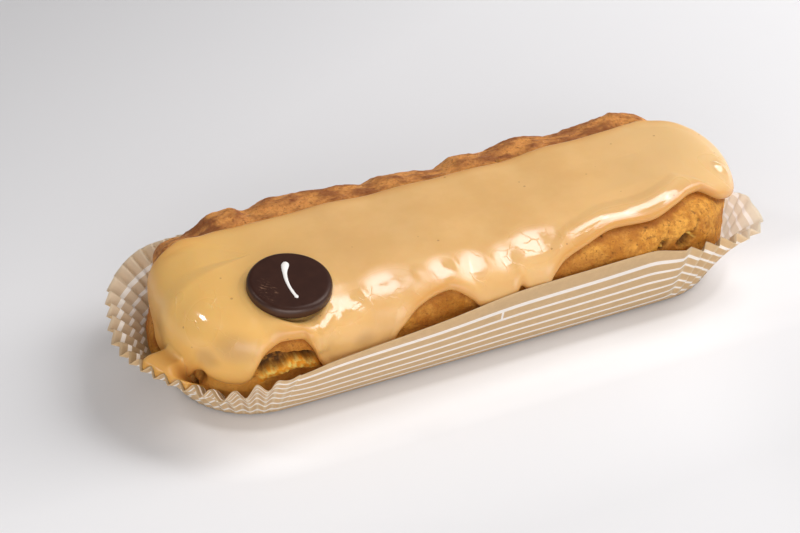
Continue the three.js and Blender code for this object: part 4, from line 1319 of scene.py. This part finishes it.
# %% The glow of the ground
# Distance from the spine of the case, in metres.
past_left = maths(tree, "MINIMUM", maths(tree, "SUBTRACT", x, CASE_LEFT / 1000), 0.0)
past_right = maths(tree, "MAXIMUM", maths(tree, "SUBTRACT", x, CASE_RIGHT / 1000), 0.0)
past_end = maths(tree, "ABSOLUTE", maths(tree, "ADD", past_left, past_right))
squares = maths(tree, "ADD", maths(tree, "POWER", past_end, 2.0), product(tree, y, y))
from_case = maths(tree, "POWER", squares, 0.5)
# Each row fades the glow beside the case in or out: value, where it is 0, where it is 1.
beside_rows = [(from_case, 0.0225, 0.0265), (y, -0.004, -0.020), (y, -0.060, -0.030), (x, -0.10, -0.055)]
beside = product(tree, *[ramp(tree, *row, "SMOOTHSTEP") for row in beside_rows])
wide = product(tree, ramp(tree, y, 0.01, -0.07, "SMOOTHSTEP"), 0.215)
# The glow is painted light, stronger close to the case to lift its shadow.
glow = maths(tree, "MAXIMUM", wide, product(tree, beside, 0.25))
dimmer = fade(tree, ramp(tree, x, 0.03, 0.08, "SMOOTHSTEP"), 1.0, 0.55)
set_shader(tree, shader, {
    "Base Color": tone,
    "Emission Strength": product(tree, glow, dimmer),
    "Emission Color": (1, 0.99, 0.99, 1),
    "Roughness": 0.9,
    "Specular IOR Level": 0.1,
})
print(floor_look.name, "has", len(tree.nodes), "nodes")

# %% The ground itself
GROUND = 3  # half its width, in metres
corners = [(-GROUND, -GROUND, 0), (GROUND, -GROUND, 0), (GROUND, GROUND, 0), (-GROUND, GROUND, 0)]
ground_mesh = bpy.data.meshes.new("ground")
ground_mesh.from_pydata(corners, [], [(0, 1, 2, 3)])
ground = bpy.data.objects.new("ground", ground_mesh)
bpy.context.scene.collection.objects.link(ground)
ground.data.materials.append(floor_look)
ground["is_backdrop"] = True
print("the ground is", 2 * GROUND, "m wide")

# %% [markdown]
# ## The studio
#
# The only clear shadow falls to the left, along the eclair's own length, so the key light stands beyond
# the right end, about 45 degrees up. No shadow falls in front, so a second light as wide as a window
# stands there and opens up the case's wall. A smaller one overhead and a lamp beyond the left end add to
# the glints on the icing. The last one stands for light that soaks through the thin paper at the right.
# The rest of the room is a pale grey.


# %% Lights
def soft_light(name, toward, distance, width, depth, watts, colour=(1, 1, 1)):
    """A rectangular light in a direction from the eclair, facing it."""
    lamp = bpy.data.lights.new(name, "AREA")
    lamp.shape, lamp.size, lamp.size_y = "RECTANGLE", width, depth
    lamp.energy, lamp.color = watts, colour
    placed = bpy.data.objects.new(name, lamp)
    direction = Vector(toward).normalized()
    placed.location = Vector((0, 0, 0.015)) + direction * distance
    placed.rotation_euler = direction.to_track_quat("Z", "Y").to_euler()
    bpy.context.scene.collection.objects.link(placed)
    placed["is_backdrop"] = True
    return placed


WARM_WHITE = (1.0, 0.99, 0.98)
key = soft_light("key_light", (0.69, -0.14, 0.70), 0.70, 0.38, 0.38, 2.5, WARM_WHITE)
fill = soft_light("front_fill", (-0.35, -0.88, 0.31), 0.9, 1.1, 0.5, 5.7, WARM_WHITE)
top = soft_light("top_light", (0.38, 0.05, 0.92), 0.8, 0.30, 0.26, 1.5)
far = soft_light("far_lamp", (-0.65, 0.25, 0.72), 0.8, 0.10, 0.10, 0.7)
beyond = soft_light("light_behind", (0.83, 0.53, 0.11), 0.6, 0.30, 0.12, 1.8)
beyond.visible_glossy = False  # no lamp shows there in the icing
print("lights:", key.name, fill.name, top.name, far.name, beyond.name)

# %% The room
world = bpy.data.worlds.new("room")
world.use_nodes = True
room = world.node_tree.nodes["Background"]
room.inputs["Color"].default_value = (*WARM_WHITE, 1)
room.inputs["Strength"].default_value = 0.25
bpy.context.scene.world = world
print("light of the room:", room.inputs["Strength"].default_value)

# %% [markdown]
# ## The camera
#
# The lens is a long one, from about half a metre: lines along the eclair hardly converge in the photo. It
# was fitted to the outline of the pastry, the ellipse of the chocolate and the edges of the case.

# %% Camera
AZIMUTH, ELEVATION, DISTANCE = math.radians(-24.6), math.radians(36.0), 0.5415
TARGET = Vector((-0.0115, 0.0029, 0.0150))
camera_data = bpy.data.cameras.new("camera")
camera_data.lens, camera_data.sensor_width = 100, 36
camera = bpy.data.objects.new("camera", camera_data)
level = math.cos(ELEVATION)
away = Vector((math.sin(AZIMUTH) * level, -math.cos(AZIMUTH) * level, math.sin(ELEVATION)))
camera.location = TARGET + away * DISTANCE
camera.rotation_mode = "QUATERNION"
camera.rotation_quaternion = (-away).to_track_quat("-Z", "Y")
bpy.context.scene.collection.objects.link(camera)
bpy.context.scene.camera = camera
bpy.context.scene.view_settings.view_transform = "Standard"
print("camera at, m:", [round(v, 3) for v in camera.location])

# %% Measure and finish
low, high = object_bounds()
print("visual box, mm:", [round(1000 * (b - a), 1) for a, b in zip(low, high)])
